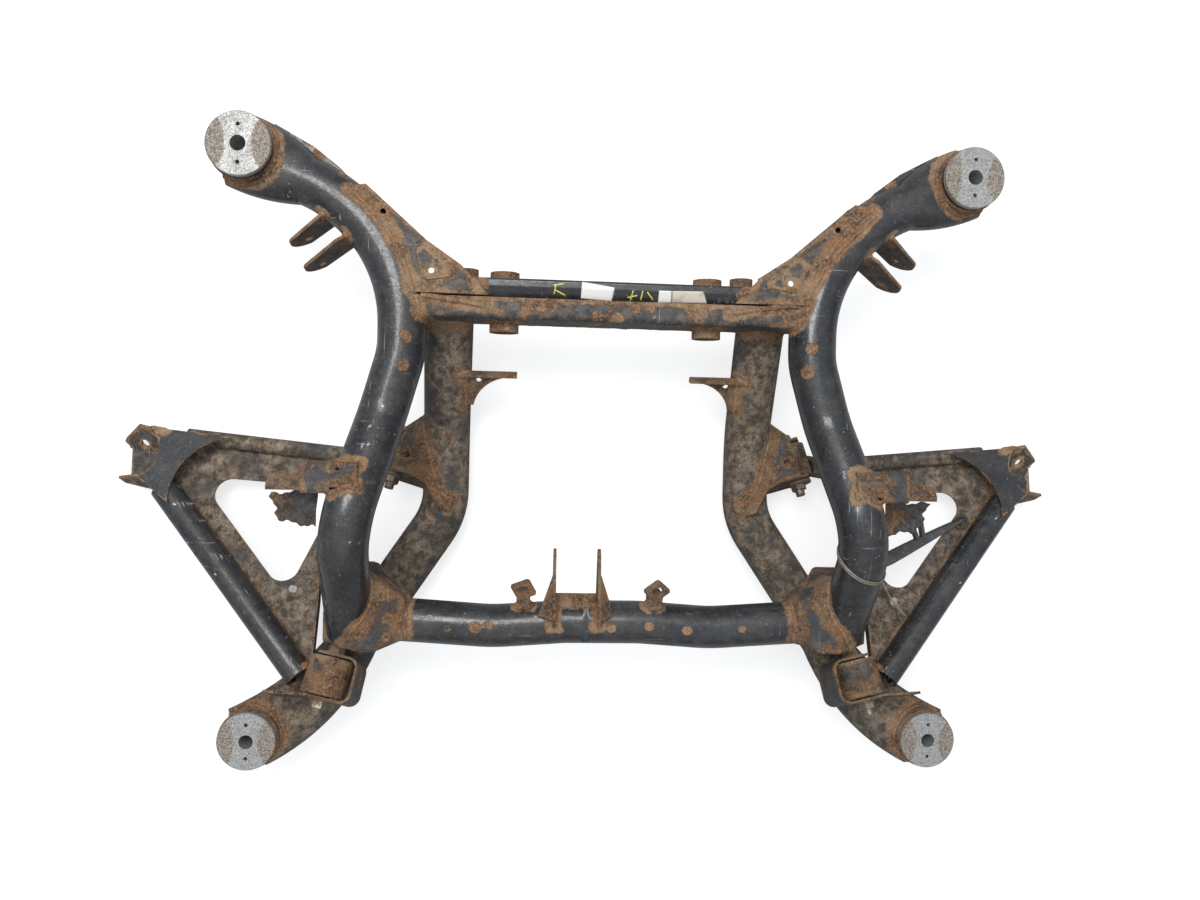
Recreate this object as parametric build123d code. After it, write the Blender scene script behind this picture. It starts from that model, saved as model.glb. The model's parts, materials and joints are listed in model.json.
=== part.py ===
from build123d import *
from functools import cache
import math
import os

# Rear subframe of a large off-road car: a welded cradle of four bent rails, a stamped
# front crossmember and a rear cross tube, with both lower control arms still bolted on.
# X points to the right, Y to the front, Z up. Z 0 is the floor that the cradle lies on,
# X 0 is its middle and Y 0 is halfway between the front and the rear body bushes.

# Body bushes
front_bush_x = 484.0
rear_bush_x = 500.0
bush_row_y = 404.0
front_face_z = 263.0
rear_face_z = 141.0
bush_housing_radius = 43.0
bush_housing_wall = 3.5
bush_housing_height = 70.0
bush_face_radius = 41.0
bush_face_thickness = 8.0
front_bush_stand = 16.0
rear_bush_stand = 10.0
bush_neck_radius = 21.0
bush_foot_radius = 31.0
bush_foot_thickness = 6.0
bush_bore_radius = 10.0
bush_face_chamfer = 1.0
bush_pin_hole_radius = 2.6
bush_pin_hole_offset = 24.0
rubber_dish = 5.0

# Upper rails
upper_rail_radius = 32.5
upper_rail_wall = 3.0
upper_horn_drop = 52.0
upper_straight_x = 281.0
upper_straight_z = 215.0
upper_bend_y = 320.0
upper_straight_rear_y = 150.0
upper_arch_foot = (304.0, 67.0, 218.0)
upper_arch_top = (343.0, -84.0, 288.0)
upper_rail_end = (353.0, -236.0, 160.0)
upper_bend_radius = 200.0
upper_knee_radius = 120.0
upper_foot_radius = 100.0
upper_arch_radius = 88.0

# Lower rails
lower_rail_radius = 35.0
lower_rail_wall = 3.0
lower_rail_head = (224.0, 243.0, 162.0)
lower_straight_x = 235.0
lower_straight_front_y = 44.0
lower_straight_rear_y = -81.0
lower_throat = (362.0, -272.0, 56.0)
lower_tail_drop = 45.0
lower_knee_radius = 130.0
lower_side_radius = 110.0

# Widened rail ends at the bushes
mouth_half_width = 50.0
mouth_half_height = 32.0
mouth_overreach = 12.0
horn_length = 84.0
horn_waist = (428.0, 381.0)
horn_waist_half_width = 41.0
tail_waist = (419.0, -349.0, 73.0)
tail_waist_half_width = 45.0
horn_seam_width = 9.0
horn_seam_wall = 4.0

# Front crossmember
cross_top_z = 236.0
cross_height = 80.0
cross_front_y = 251.0
cross_rear_y = 197.0
cross_wall = 3.0
cross_corner_radius = 8.0
cross_half_length = 272.0
groove_front_y = 240.0
groove_rear_y = 225.0
groove_depth = 9.0

# Gussets over the crossmember's ends
gusset_wall = 3.0
gusset_flange_depth = 28.0
gusset_pad_rise = 2.5
gusset_pad_corner_radius = 6.0
gusset_hole_radius = 4.0

# Sleeves for the differential's front mounts
diff_sleeve_left_x = -146.0
diff_sleeve_right_x = 136.0
diff_sleeve_z = 190.0
diff_sleeve_radius = 20.0
diff_sleeve_bore_radius = 15.0
diff_sleeve_front_y = 264.0
diff_sleeve_rear_y = 182.0
collar_left_x = -198.0
collar_right_x = 184.0
collar_radius = 16.0
collar_bore_radius = 6.5
collar_front_y = 267.0
collar_length = 30.0

# Rear cross tube
cross_tube_radius = 30.0
cross_tube_wall = 3.0
cross_tube_z = 177.0
cross_tube_end_y = -217.0
cross_tube_sag_y = -227.0
cross_tube_mid_y = -220.0
cross_tube_half_length = 306.0
cross_tube_bend_radius = 260.0

# Rear corner shells
corner_wall = 3.0
corner_top_z = 211.0
corner_low_z = 150.0
corner_inner_skirt_z = 148.0
corner_skirt_z = 100.0
corner_edge_radius = 7.0
corner_inner_x = 271.0
corner_outer_x = 393.0
corner_front_y = -150.0
corner_rear_y = -258.0

# Differential's rear mount on the cross tube
rear_mount_x = -37.5
rear_mount_half_gap = 29.0
rear_mount_wall = 4.0
rear_mount_reach = 105.0
rear_mount_axis_z = 190.0
rear_mount_tip_radius = 12.0
rear_mount_top_z = 225.0
rear_mount_low_z = 168.0
rear_mount_flare = 19.0
rear_mount_hole_radius = 6.5
tab_left_x = -111.0
tab_right_x = 72.0
tab_stand_y = 29.0
tab_top_z = 219.0
tab_tilt = 28.0
tab_wall = 3.0
tab_width = 28.0
tab_hole_radius = 7.0
tab_foot_width = 19.0

# Hinge line of a control arm, right side
front_pivot = (307.0, 5.0, 42.0)
rear_pivot = (383.5, -305.5, 158.3)
arm_droop = 5.0
front_eye_radius = 27.0
front_eye_length = 52.0
rear_eye_radius = 31.0
rear_eye_length = 52.0
eye_wall = 3.0
eye_end_gap = 2.5
pivot_sleeve_radius = 10.5
pivot_bolt_radius = 7.0
bolt_hole_clearance = 0.2
bolt_head_height = 9.0
bolt_head_across = 21.0
bolt_tail = 9.0
cam_washer_radius = 18.0
cam_washer_thickness = 4.0
cam_offset = 4.0
washer_radius = 15.0
washer_thickness = 2.5

# Brackets at the hinge line
bracket_wall = 3.5
cam_tilt = 19.0
cam_bracket_reach = 20.0
cam_bracket_rise = 30.0
cam_bracket_root = 92.0
cam_leg_drop = 24.0
cam_slot_length = 12.0
rear_bracket_web_x = 41.0
rear_bracket_rise = 26.0
rear_bracket_drop = 50.0
rear_bracket_reach = 17.0
rear_bracket_flat = 22.0
rear_bracket_long_reach = 74.0
rear_bracket_bend_radius = 12.0

# Control arm, in the arm's own plane
arm_wall = 3.0
arm_floor_z = -16.0
arm_tube_radius = 20.0
arm_tube_wall = 3.0
arm_edge_radius = 12.0
arm_edge_wall = 3.0
arm_bridge_wall = 3.0
arm_lip_height = 14.0
arm_window_corner_radius = 24.0
ear_wall = 4.0
ear_hole_radius = 6.5
ear_hole_x = 372.0
ear_hole_z = -4.0
ear_front_top_y = -52.0
ear_front_low_y = -78.0
ear_rear_top_y = -131.0
ear_rear_low_y = -137.0
ear_reach = 120.0
clevis_root_x = 314.5

# Link brackets on the upper rails
link_ear_angle = -30.6
link_hole = (410.0, 291.0, 160.0)
link_hole_radius = 6.0
link_gap = 35.0
link_wall = 4.0
link_tip_radius = 22.0
link_root_length = 62.0
link_root_rise = 50.0

# Hose brackets on the upper rails
hose_bracket_inner_x = 322.0
hose_bracket_outer_x = 392.0
hose_bracket_front_y = 4.0
hose_bracket_rear_y = -36.0
hose_bracket_top_z = 297.0
hose_bracket_wall = 3.0
hose_lip_outer_x = 441.0
hose_lip_front_y = -14.0
hose_lip_rear_y = -34.0

# Shelves on the lower rails
shelf_tip_x = 128.0
shelf_front_y = 134.0
shelf_root_y = 78.0
shelf_front_z = 112.0
shelf_slope = 32.0
shelf_wall = 4.0
shelf_flange = 14.0

# Fits
weld_gap = 0.3
running_gap = 0.05


def mirrored(shape):
    """The same piece on the left side."""
    return mirror(shape, about=Plane.YZ)


def rod_along(path, radius):
    """A solid round bar along a run of straight lines and tangent arcs."""
    rod = Part()
    for edge in path.edges():
        section = Plane(origin=edge @ 0, z_dir=edge % 0) * Circle(radius)
        if edge.geom_type == GeomType.LINE:
            rod += extrude(section, edge.length)
            continue
        arm = edge @ 0 - edge.arc_center
        axis = Axis(edge.arc_center, arm.cross(edge % 0))
        rod += revolve(section, axis=axis, revolution_arc=math.degrees(edge.length / edge.radius))
    return rod


def bar(start, end, radius):
    """A straight round bar from one point to another."""
    axis = Vector(*end) - Vector(*start)
    return extrude(Plane(origin=start, z_dir=axis) * Circle(radius), axis.length)


def upright(x, y, low_z, high_z, radius):
    """A vertical round bar."""
    return bar((x, y, low_z), (x, y, high_z), radius)


def corner_box(low, high):
    """A box from its lowest to its highest corner."""
    size = Vector(*high) - Vector(*low)
    return Pos(*low) * Box(size.X, size.Y, size.Z, align=(Align.MIN, Align.MIN, Align.MIN))


def largest(shape):
    """The biggest solid of a shape that a cut has left in pieces."""
    return max(shape.solids(), key=lambda solid: solid.volume)


# Body bushes


def bush_housing(x, y, top):
    """The pressed sleeve that a rail's end is welded to."""
    low = top - bush_housing_height
    outer = upright(x, y, low, top, bush_housing_radius)
    return outer - upright(x, y, low, top, bush_housing_radius - bush_housing_wall)


def bush_core(x, y, face_z, top):
    """The aluminium core: a flat face, a neck through the rubber and a foot."""
    foot_z = top - bush_housing_height
    under_face_z = face_z - bush_face_thickness
    face = upright(x, y, under_face_z, face_z, bush_face_radius)
    face = chamfer(face.edges().group_by(Axis.Z)[-1], bush_face_chamfer)
    neck = upright(x, y, foot_z, under_face_z, bush_neck_radius)
    foot = upright(x, y, foot_z, foot_z + bush_foot_thickness, bush_foot_radius)
    core = face + neck + foot - upright(x, y, foot_z, face_z, bush_bore_radius)
    for side in (-1, 1):
        pin_y = y + side * bush_pin_hole_offset
        core -= upright(x, pin_y, under_face_z, face_z, bush_pin_hole_radius)
    return core


def bush_rubber(x, y, face_z, top):
    """The rubber ring between core and housing, dished at both ends."""
    inner = bush_neck_radius + weld_gap
    outer = bush_housing_radius - bush_housing_wall - weld_gap
    middle = (inner + outer) / 2
    lip_z = min(top, face_z - bush_face_thickness) - weld_gap
    foot_z = top - bush_housing_height + bush_foot_thickness + weld_gap
    section = Polyline(
        (inner, foot_z),
        (inner, lip_z),
        (middle, lip_z - rubber_dish),
        (outer, lip_z),
        (outer, foot_z),
        (middle, foot_z + rubber_dish),
        close=True,
    )
    return Pos(x, y, 0) * revolve(Plane.XZ * make_face(section), axis=Axis.Z)


# Rails


def rail_end(bush, waist, waist_half_width, path, radius, inset):
    """The widened end of a rail, lofted from the bush over a waist to the round tube."""
    start = path @ 0
    bush_centre, waist_centre = Vector(*bush), Vector(*waist)
    outward = (bush_centre - waist_centre).normalized()
    half_height = mouth_half_height - inset
    mouth = Plane(bush_centre + outward * mouth_overreach, x_dir=(0, 0, 1), z_dir=-outward)
    middle = Plane(waist_centre, x_dir=(0, 0, 1), z_dir=start - bush_centre)
    throat = Plane(start, x_dir=(0, 0, 1), z_dir=path % 0)
    return loft(
        [
            mouth * Ellipse(half_height, mouth_half_width - inset),
            middle * Ellipse((half_height + radius - inset) / 2, waist_half_width - inset),
            throat * Circle(radius - inset),
        ]
    )


@cache
def upper_rail_form(inset):
    """Form of the upper rail from bush to rear corner, made smaller by an inset."""
    horn_z = front_face_z - upper_horn_drop
    bush = Vector(front_bush_x, bush_row_y, horn_z)
    corner = Vector(upper_straight_x, upper_bend_y, horn_z)
    path = FilletPolyline(
        bush + (corner - bush).normalized() * horn_length,
        corner,
        (upper_straight_x, upper_straight_rear_y, upper_straight_z),
        upper_arch_foot,
        upper_arch_top,
        upper_rail_end,
        radius=[upper_bend_radius, upper_knee_radius, upper_foot_radius, upper_arch_radius],
    )
    waist = (*horn_waist, horn_z)
    end = rail_end(bush, waist, horn_waist_half_width, path, upper_rail_radius, inset)
    return rod_along(path, upper_rail_radius - inset) + end


@cache
def lower_rail_form(inset):
    """Form of the lower rail from bush to crossmember, made smaller by an inset."""
    bush = (rear_bush_x, -bush_row_y, rear_face_z - lower_tail_drop)
    path = FilletPolyline(
        lower_throat,
        (lower_straight_x, lower_straight_rear_y, lower_rail_radius),
        (lower_straight_x, lower_straight_front_y, lower_rail_radius),
        lower_rail_head,
        radius=[lower_side_radius, lower_knee_radius],
    )
    end = rail_end(bush, tail_waist, tail_waist_half_width, path, lower_rail_radius, inset)
    return rod_along(path, lower_rail_radius - inset) + end


def bush_cut(x, y, face_z):
    """The space that a rail leaves for its bush."""
    low_z = face_z - 2 * bush_housing_height
    return upright(x, y, low_z, face_z + bush_housing_height, bush_housing_radius + weld_gap)


def horn_seam():
    """Flat seam along the front side of the horn, where its two pressed halves meet."""
    horn_z = front_face_z - upper_horn_drop
    outer_line = [(452.0, 446.0), (400.0, 418.0), (365.0, 391.0), (346.0, 370.0)]
    inner_line = [(x + horn_seam_width, y - 2 * horn_seam_width) for x, y in outer_line]
    strip = make_face(Polyline(*outer_line, *reversed(inner_line), close=True))
    return extrude(Pos(0, 0, horn_z - horn_seam_wall / 2) * strip, horn_seam_wall)


def upper_rail():
    """Bent upper rail, saddled round the front bush."""
    rail = upper_rail_form(0) + horn_seam() - upper_rail_form(upper_rail_wall)
    return largest(rail - bush_cut(front_bush_x, bush_row_y, front_face_z))


def lower_rail():
    """Bent lower rail: saddled under the crossmember, widened round the rear bush."""
    rail = lower_rail_form(0) - lower_rail_form(lower_rail_wall)
    rail -= bush_cut(rear_bush_x, -bush_row_y, rear_face_z)
    return largest(rail - crossmember_space())


# Front crossmember


def cross_bottom_z():
    return cross_top_z - cross_height


def crossmember_space():
    """The room that the crossmember takes up, with the gap of a weld."""
    low = (
        -cross_half_length,
        cross_rear_y - weld_gap,
        cross_bottom_z() - weld_gap,
    )
    high = (cross_half_length, cross_front_y + weld_gap, cross_top_z + upper_rail_radius)
    return corner_box(low, high)


def extruded_section(points, wall, radius):
    """A folded sheet as long as the crossmember, from its outer line in Y and Z."""
    with BuildSketch(Plane.YZ) as section:
        with BuildLine() as line:
            FilletPolyline(*points, radius=radius)
            offset(amount=wall, side=Side.LEFT)
        make_face()
    strip = extrude(section.sketch, cross_half_length, both=True)
    return strip


def cut_for_rails(shape):
    """A crossmember shell with its ends fitted to both upper rails."""
    space = upper_rail_form(-weld_gap)
    return largest(shape - space - mirrored(space))


def sleeve_bars(radius):
    """Bars in the places of the four sleeves through the crossmember."""
    bars = []
    for x in (diff_sleeve_left_x, diff_sleeve_right_x):
        start = (x, diff_sleeve_rear_y, diff_sleeve_z)
        bars.append(bar(start, (x, diff_sleeve_front_y, diff_sleeve_z), diff_sleeve_radius + radius))
    for x in (collar_left_x, collar_right_x):
        start = (x, collar_front_y - collar_length, diff_sleeve_z)
        bars.append(bar(start, (x, collar_front_y, diff_sleeve_z), collar_radius + radius))
    return bars


def crossmember_front():
    """Front shell: front wall, top strip with the groove's slope, and the floor."""
    low = cross_bottom_z()
    points = [
        (cross_rear_y + cross_wall + weld_gap, low),
        (cross_front_y, low),
        (cross_front_y, cross_top_z),
        (groove_front_y, cross_top_z),
        (groove_rear_y, cross_top_z - groove_depth),
        (cross_rear_y + cross_wall + 2 * cross_corner_radius, cross_top_z - groove_depth),
    ]
    radii = [cross_corner_radius, cross_corner_radius / 2, cross_wall, cross_wall]
    shell = extruded_section(points, cross_wall, radii)
    for space in sleeve_bars(weld_gap):
        shell -= space
    return cut_for_rails(shell)


def crossmember_rear():
    """Rear shell: the flat top behind the groove and the rear wall."""
    low = cross_bottom_z()
    points = [
        (groove_rear_y, cross_top_z),
        (cross_rear_y, cross_top_z),
        (cross_rear_y, low),
    ]
    shell = extruded_section(points, cross_wall, cross_corner_radius)
    for space in sleeve_bars(weld_gap):
        shell -= space
    return cut_for_rails(shell)


def diff_sleeve(x):
    """Thick sleeve through the crossmember for a mount bolt of the differential."""
    rear = (x, diff_sleeve_rear_y, diff_sleeve_z)
    front = (x, diff_sleeve_front_y, diff_sleeve_z)
    return bar(rear, front, diff_sleeve_radius) - bar(rear, front, diff_sleeve_bore_radius)


def collar(x):
    """Small collar in the crossmember's front wall."""
    rear = (x, collar_front_y - collar_length, diff_sleeve_z)
    front = (x, collar_front_y, diff_sleeve_z)
    return bar(rear, front, collar_radius) - bar(rear, front, collar_bore_radius)


def gusset_front_edge(inset):
    """The gusset's front edge, right side, moved back by an inset."""
    corners = [(202.0, 265.0), (248.0, 296.0), (328.0, 366.0)]
    return [(x + 0.6 * inset, y - 0.8 * inset) for x, y in corners]


def crossmember_gusset():
    """Pressed gusset over the corner of crossmember and upper rail."""
    low_z = cross_top_z + weld_gap
    outline = [(166.0, 227.0), *gusset_front_edge(0), (352.0, 362.0), (312.0, 290.0), (284.0, 228.0)]
    plate = extrude(Pos(0, 0, low_z) * make_face(Polyline(*outline, close=True)), gusset_wall)
    pad_corners = [(206.0, 250.0), (250.0, 288.0), (262.0, 284.0), (252.0, 243.0)]
    pad_face = make_face(Polyline(*pad_corners, close=True))
    pad_face = fillet(pad_face.vertices(), gusset_pad_corner_radius)
    plate += extrude(Pos(0, 0, low_z + gusset_wall) * pad_face, gusset_pad_rise)
    hollow = offset(pad_face, -gusset_wall / 2)
    plate -= extrude(Pos(0, 0, low_z) * hollow, gusset_pad_rise)
    edge = [*gusset_front_edge(0), *reversed(gusset_front_edge(gusset_wall))]
    flange_face = make_face(Polyline(*edge, close=True))
    flange_z = low_z + gusset_wall - gusset_flange_depth
    gusset = plate + extrude(Pos(0, 0, flange_z) * flange_face, gusset_flange_depth)
    for x, y in ((241.0, 256.0), (305.0, 331.0)):
        gusset -= upright(x, y, flange_z, cross_top_z + cross_height, gusset_hole_radius)
    return largest(gusset - upper_rail_form(-weld_gap))


# Rear cross tube and its corners


def cross_tube_path():
    """Centre line of the cross tube, bowed to the rear on both sides."""
    bend = (cross_tube_half_length / 2, cross_tube_sag_y)
    points = [
        (-cross_tube_half_length, cross_tube_end_y, cross_tube_z),
        (-bend[0], bend[1], cross_tube_z),
        (-bend[0] / 3, cross_tube_mid_y, cross_tube_z),
        (bend[0] / 3, cross_tube_mid_y, cross_tube_z),
        (bend[0], bend[1], cross_tube_z),
        (cross_tube_half_length, cross_tube_end_y, cross_tube_z),
    ]
    return FilletPolyline(*points, radius=cross_tube_bend_radius)


@cache
def cross_tube_space():
    """The room that the cross tube takes up, with the gap of a weld."""
    return rod_along(cross_tube_path(), cross_tube_radius + weld_gap)


def rear_cross_tube():
    """Gently bowed tube between the rear corners."""
    path = cross_tube_path()
    tube = rod_along(path, cross_tube_radius) - rod_along(path, cross_tube_radius - cross_tube_wall)
    return cut_for_rails(tube)


def corner_plan(inset):
    """Plan outline of the rear corner shell, right side, moved inwards by an inset."""
    points = [
        (corner_inner_x, -186.0),
        (298.0, -166.0),
        (322.0, corner_front_y),
        (365.0, corner_front_y),
        (corner_outer_x, -215.0),
        (corner_outer_x, corner_rear_y),
        (312.0, corner_rear_y),
        (corner_inner_x, -240.0),
    ]
    face = make_face(Polyline(*points, close=True))
    return offset(face, -inset, kind=Kind.INTERSECTION) if inset else face


def corner_side(inset):
    """Side outline of the rear corner shell in X and Z, lowered by an inset."""
    inner_x = corner_inner_x - corner_wall
    outer_x = corner_outer_x + corner_wall
    points = [
        (inner_x, corner_inner_skirt_z - inset),
        (inner_x, corner_top_z - inset),
        (338.0, corner_top_z - inset),
        (outer_x, corner_low_z - inset),
        (outer_x, corner_skirt_z - inset),
        (332.0, corner_skirt_z - inset),
        (302.0, corner_inner_skirt_z - inset),
    ]
    return Plane.XZ * make_face(Polyline(*points, close=True))


def corner_block(inset):
    """The filled form of the corner shell."""
    plan = extrude(corner_plan(inset), 2 * corner_top_z)
    side = extrude(corner_side(inset), 2 * corner_outer_x, both=True)
    return plan & side


def rear_corner():
    """Pressed shell that joins upper rail, lower rail and cross tube."""
    outer = corner_block(0)
    top_edges = outer.edges().filter_by(lambda edge: edge.center().Z > corner_low_z + corner_wall)
    outer = fillet(top_edges, corner_edge_radius)
    shell = outer - corner_block(corner_wall)
    shell = shell - upper_rail_form(-weld_gap) - lower_rail_form(-weld_gap) - cross_tube_space()
    return largest(shell)


def rear_mount_ear(side):
    """One tall ear of the rear mount with the flank that flares at its foot."""
    axis_y = cross_tube_mid_y + rear_mount_reach - rear_mount_tip_radius
    tip = (axis_y + rear_mount_tip_radius, rear_mount_axis_z)
    low_y = cross_tube_mid_y + cross_tube_radius
    with BuildSketch(Plane.YZ) as ear:
        with BuildLine():
            Line((cross_tube_mid_y, rear_mount_low_z), (cross_tube_mid_y, rear_mount_top_z))
            Line((cross_tube_mid_y, rear_mount_top_z), (axis_y, rear_mount_axis_z + rear_mount_tip_radius))
            ThreePointArc(
                (axis_y, rear_mount_axis_z + rear_mount_tip_radius),
                tip,
                (axis_y, rear_mount_axis_z - rear_mount_tip_radius),
            )
            Line((axis_y, rear_mount_axis_z - rear_mount_tip_radius), (low_y, rear_mount_low_z))
            Line((low_y, rear_mount_low_z), (cross_tube_mid_y, rear_mount_low_z))
        make_face()
        with Locations((axis_y, rear_mount_axis_z)):
            Circle(rear_mount_hole_radius, mode=Mode.SUBTRACT)
    inner_x = rear_mount_half_gap if side > 0 else -rear_mount_half_gap - rear_mount_wall
    plate = Pos(rear_mount_x + inner_x, 0, 0) * extrude(ear.sketch, rear_mount_wall)
    edge_x = rear_mount_x + side * (rear_mount_half_gap + rear_mount_wall / 2)
    flank = Polyline(
        (edge_x, axis_y - 2 * rear_mount_tip_radius, rear_mount_axis_z + rear_mount_tip_radius),
        (edge_x, cross_tube_mid_y + 10.0, rear_mount_top_z - rear_mount_wall),
        (edge_x + side * rear_mount_flare, cross_tube_mid_y + 12.0, cross_tube_z + 24.0),
        close=True,
    )
    return plate + extrude(make_face(flank), rear_mount_wall)


def rear_mount():
    """Two tall ears with a web between them, welded to the cross tube's front."""
    web_low = (rear_mount_x - rear_mount_half_gap, cross_tube_mid_y + 26.0, cross_tube_z + 9.0)
    web_high = (
        rear_mount_x + rear_mount_half_gap,
        cross_tube_mid_y + 42.0,
        cross_tube_z + 9.0 + rear_mount_wall,
    )
    bracket = rear_mount_ear(-1) + rear_mount_ear(1) + corner_box(web_low, web_high)
    return largest(bracket - cross_tube_space())


def rear_tab(x, turn):
    """Small angled tab with a hole, on a foot welded to the cross tube."""
    y = cross_tube_sag_y + cross_tube_radius + tab_stand_y
    plate = Box(tab_width, tab_width, tab_wall)
    plate = fillet(plate.edges().filter_by(Axis.Z), 4.0)
    plate = Pos(x, y, tab_top_z) * Rot(tab_tilt, 0, 0) * Rot(0, 0, turn) * plate
    foot_low = (x - tab_foot_width / 2, y - 30.0, cross_tube_z)
    foot_high = (x + tab_foot_width / 2, y - 2.0, tab_top_z + tab_width)
    foot = fillet(corner_box(foot_low, foot_high).edges().filter_by(Axis.Z), 4.0)
    room = Pos(x, y, tab_top_z) * Rot(tab_tilt, 0, 0) * Pos(0, 0, tab_width)
    foot -= room * Box(3 * tab_width, 4 * tab_width, 2 * tab_width)
    hole = Pos(x, y, tab_top_z) * Rot(tab_tilt, 0, 0) * Cylinder(tab_hole_radius, 8 * tab_wall)
    return largest(plate + foot - hole - cross_tube_space())


# Hinge line of the control arm


def hinge_vector():
    return (Vector(*front_pivot) - Vector(*rear_pivot)).normalized()


def hinge_plane(origin):
    """Plane of the arm: Y along the hinge to the front, X outboard, Z up from the arm."""
    hinge = hinge_vector()
    level = hinge.cross(Vector(0, 0, 1)).normalized()
    outboard = level.rotate(Axis((0, 0, 0), tuple(hinge)), arm_droop)
    return Plane(origin=origin, x_dir=outboard, z_dir=outboard.cross(hinge))


def front_plane():
    return hinge_plane(front_pivot)


def rear_plane():
    return hinge_plane(rear_pivot)


def on_hinge(plane, start, end, radius):
    """A round bar on the hinge line, between two places along it."""
    local = bar((0, start, 0), (0, end, 0), radius)
    return plane * local


def hinge_ring(plane, half_length, outer, inner):
    """A ring about the hinge line."""
    solid = on_hinge(plane, -half_length, half_length, outer)
    return solid - on_hinge(plane, -half_length, half_length, inner)


def eye(plane, radius, length):
    """Steel eye of the arm."""
    return hinge_ring(plane, length / 2, radius, radius - eye_wall)


def eye_rubber(plane, radius, length):
    """Rubber bonded into the eye, turning on the clamped inner sleeve."""
    outer = radius - eye_wall - weld_gap
    return hinge_ring(plane, length / 2, outer, pivot_sleeve_radius + running_gap)


def pivot_sleeve(plane, length):
    """Inner sleeve, clamped between the bracket's legs by the bolt."""
    half = length / 2 + eye_end_gap
    return hinge_ring(plane, half, pivot_sleeve_radius, pivot_bolt_radius + bolt_hole_clearance)


def hexagon(plane, start, height):
    """A hexagonal head or nut on the hinge line."""
    face = Plane.XZ * RegularPolygon(bolt_head_across / 2, 6, major_radius=False)
    return plane * (Pos(0, start, 0) * extrude(face, -height))


def pivot_bolt(plane, length, head_stand):
    """Bolt with its head in front and its tail behind the nut."""
    half = length / 2 + eye_end_gap + bracket_wall
    nut_end = half + head_stand + bolt_head_height
    shank = on_hinge(plane, -nut_end - bolt_tail, half + head_stand, pivot_bolt_radius)
    return shank + hexagon(plane, half + head_stand, bolt_head_height)


def pivot_nut(plane, length, stand):
    """Nut behind the rear leg."""
    half = length / 2 + eye_end_gap + bracket_wall
    nut = hexagon(plane, -half - stand - bolt_head_height, bolt_head_height)
    bore = pivot_bolt_radius + bolt_hole_clearance
    return nut - on_hinge(plane, -half - 3 * bolt_head_height, 0, bore)


def pivot_washers(plane, length, radius, thickness, offset_x):
    """A washer outside each leg."""
    half = length / 2 + eye_end_gap + bracket_wall
    washers = []
    for start in (half, -half - thickness):
        disc = plane * bar((offset_x, start, 0), (offset_x, start + thickness, 0), radius)
        bore = pivot_bolt_radius + bolt_hole_clearance
        washers.append(disc - on_hinge(plane, start - 1.0, start + thickness + 1.0, bore))
    return washers


# Brackets that carry the arm


def cam_bracket():
    """Folded bracket on the lower rail for the arm's adjustable front pivot."""
    inner = front_eye_length / 2 + eye_end_gap
    outer = inner + bracket_wall
    root = -cam_bracket_root
    leg_outline = Polyline(
        (root, cam_bracket_rise),
        (cam_bracket_reach, cam_bracket_rise),
        (cam_bracket_reach, -cam_leg_drop / 2),
        (cam_bracket_reach / 2, -cam_leg_drop),
        (root, -cam_leg_drop),
        close=True,
    )
    leg = Plane.XZ * make_face(leg_outline)
    legs = Pos(0, outer, 0) * extrude(leg, bracket_wall) + Pos(0, -inner, 0) * extrude(leg, bracket_wall)
    skin_outline = Polyline(
        (root, 74.0),
        (-12.0, 62.0),
        (6.0, 38.0),
        (10.0, 12.0),
        (8.0, -outer),
        (-26.0, -outer),
        (-46.0, -38.0),
        (-62.0, -54.0),
        (-74.0, -68.0),
        (root, -68.0),
        close=True,
    )
    skin = extrude(Pos(0, 0, cam_bracket_rise) * make_face(skin_outline), bracket_wall)
    skin -= Pos(-7.0, -4.0, cam_bracket_rise) * Cylinder(4.5, 4 * bracket_wall)
    slot_width = 2 * (pivot_bolt_radius + bolt_hole_clearance)
    slot_face = Plane.XZ * SlotCenterToCenter(cam_slot_length, slot_width)
    slot = extrude(slot_face, 2 * outer, both=True)
    bracket = front_plane() * Rot(0, -cam_tilt, 0) * (legs + skin - slot)
    ground = corner_box((0, -lower_tail_drop - bush_row_y, -bush_row_y), (bush_row_y, bush_row_y, 1.0))
    return largest(bracket - ground - lower_rail_form(-weld_gap))


def rear_bracket():
    """U-shaped strap on the lower rail around the arm's rear eye."""
    outer = rear_eye_length / 2 + eye_end_gap
    web = -rear_bracket_web_x
    run = FilletPolyline(
        (rear_bracket_reach, outer),
        (web + bracket_wall, outer),
        (web, -outer),
        (rear_bracket_flat, -outer),
        (rear_bracket_long_reach, -outer - 2.5 * bracket_wall),
        radius=rear_bracket_bend_radius,
    )
    strap = make_face(Wire(run.edges()).offset_2d(bracket_wall, side=Side.RIGHT, closed=True).edges())
    depth = rear_bracket_rise + rear_bracket_drop
    solid = extrude(Pos(0, 0, -rear_bracket_drop) * strap, depth)
    bore = pivot_bolt_radius + bolt_hole_clearance
    solid -= bar((0, -2 * outer, 0), (0, 2 * outer, 0), bore)
    return largest(rear_plane() * solid - lower_rail_form(-weld_gap))


# Control arm


def hinge_length():
    return (Vector(*front_pivot) - Vector(*rear_pivot)).length


def arm_tube_bar(radius):
    """A bar on the centre line of the arm's diagonal tube, in the arm's plane."""
    return bar((38.0, -hinge_length() - 7.0, 0.0), (318.0, -133.5, 0.0), radius)


def arm_edge_bar(radius):
    """A bar on the centre line of the front leg's rolled edge, in the arm's plane."""
    height = arm_floor_z + arm_edge_radius - arm_wall / 2
    return bar((32.0, -11.5, height), (316.0, -47.0, height), radius)


def arm_window():
    """The three-cornered opening in the arm's floor."""
    corners = make_face(Polyline((286.0, -101.0), (99.0, -244.0), (70.0, -68.0), close=True))
    return fillet(corners.vertices(), arm_window_corner_radius)


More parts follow.
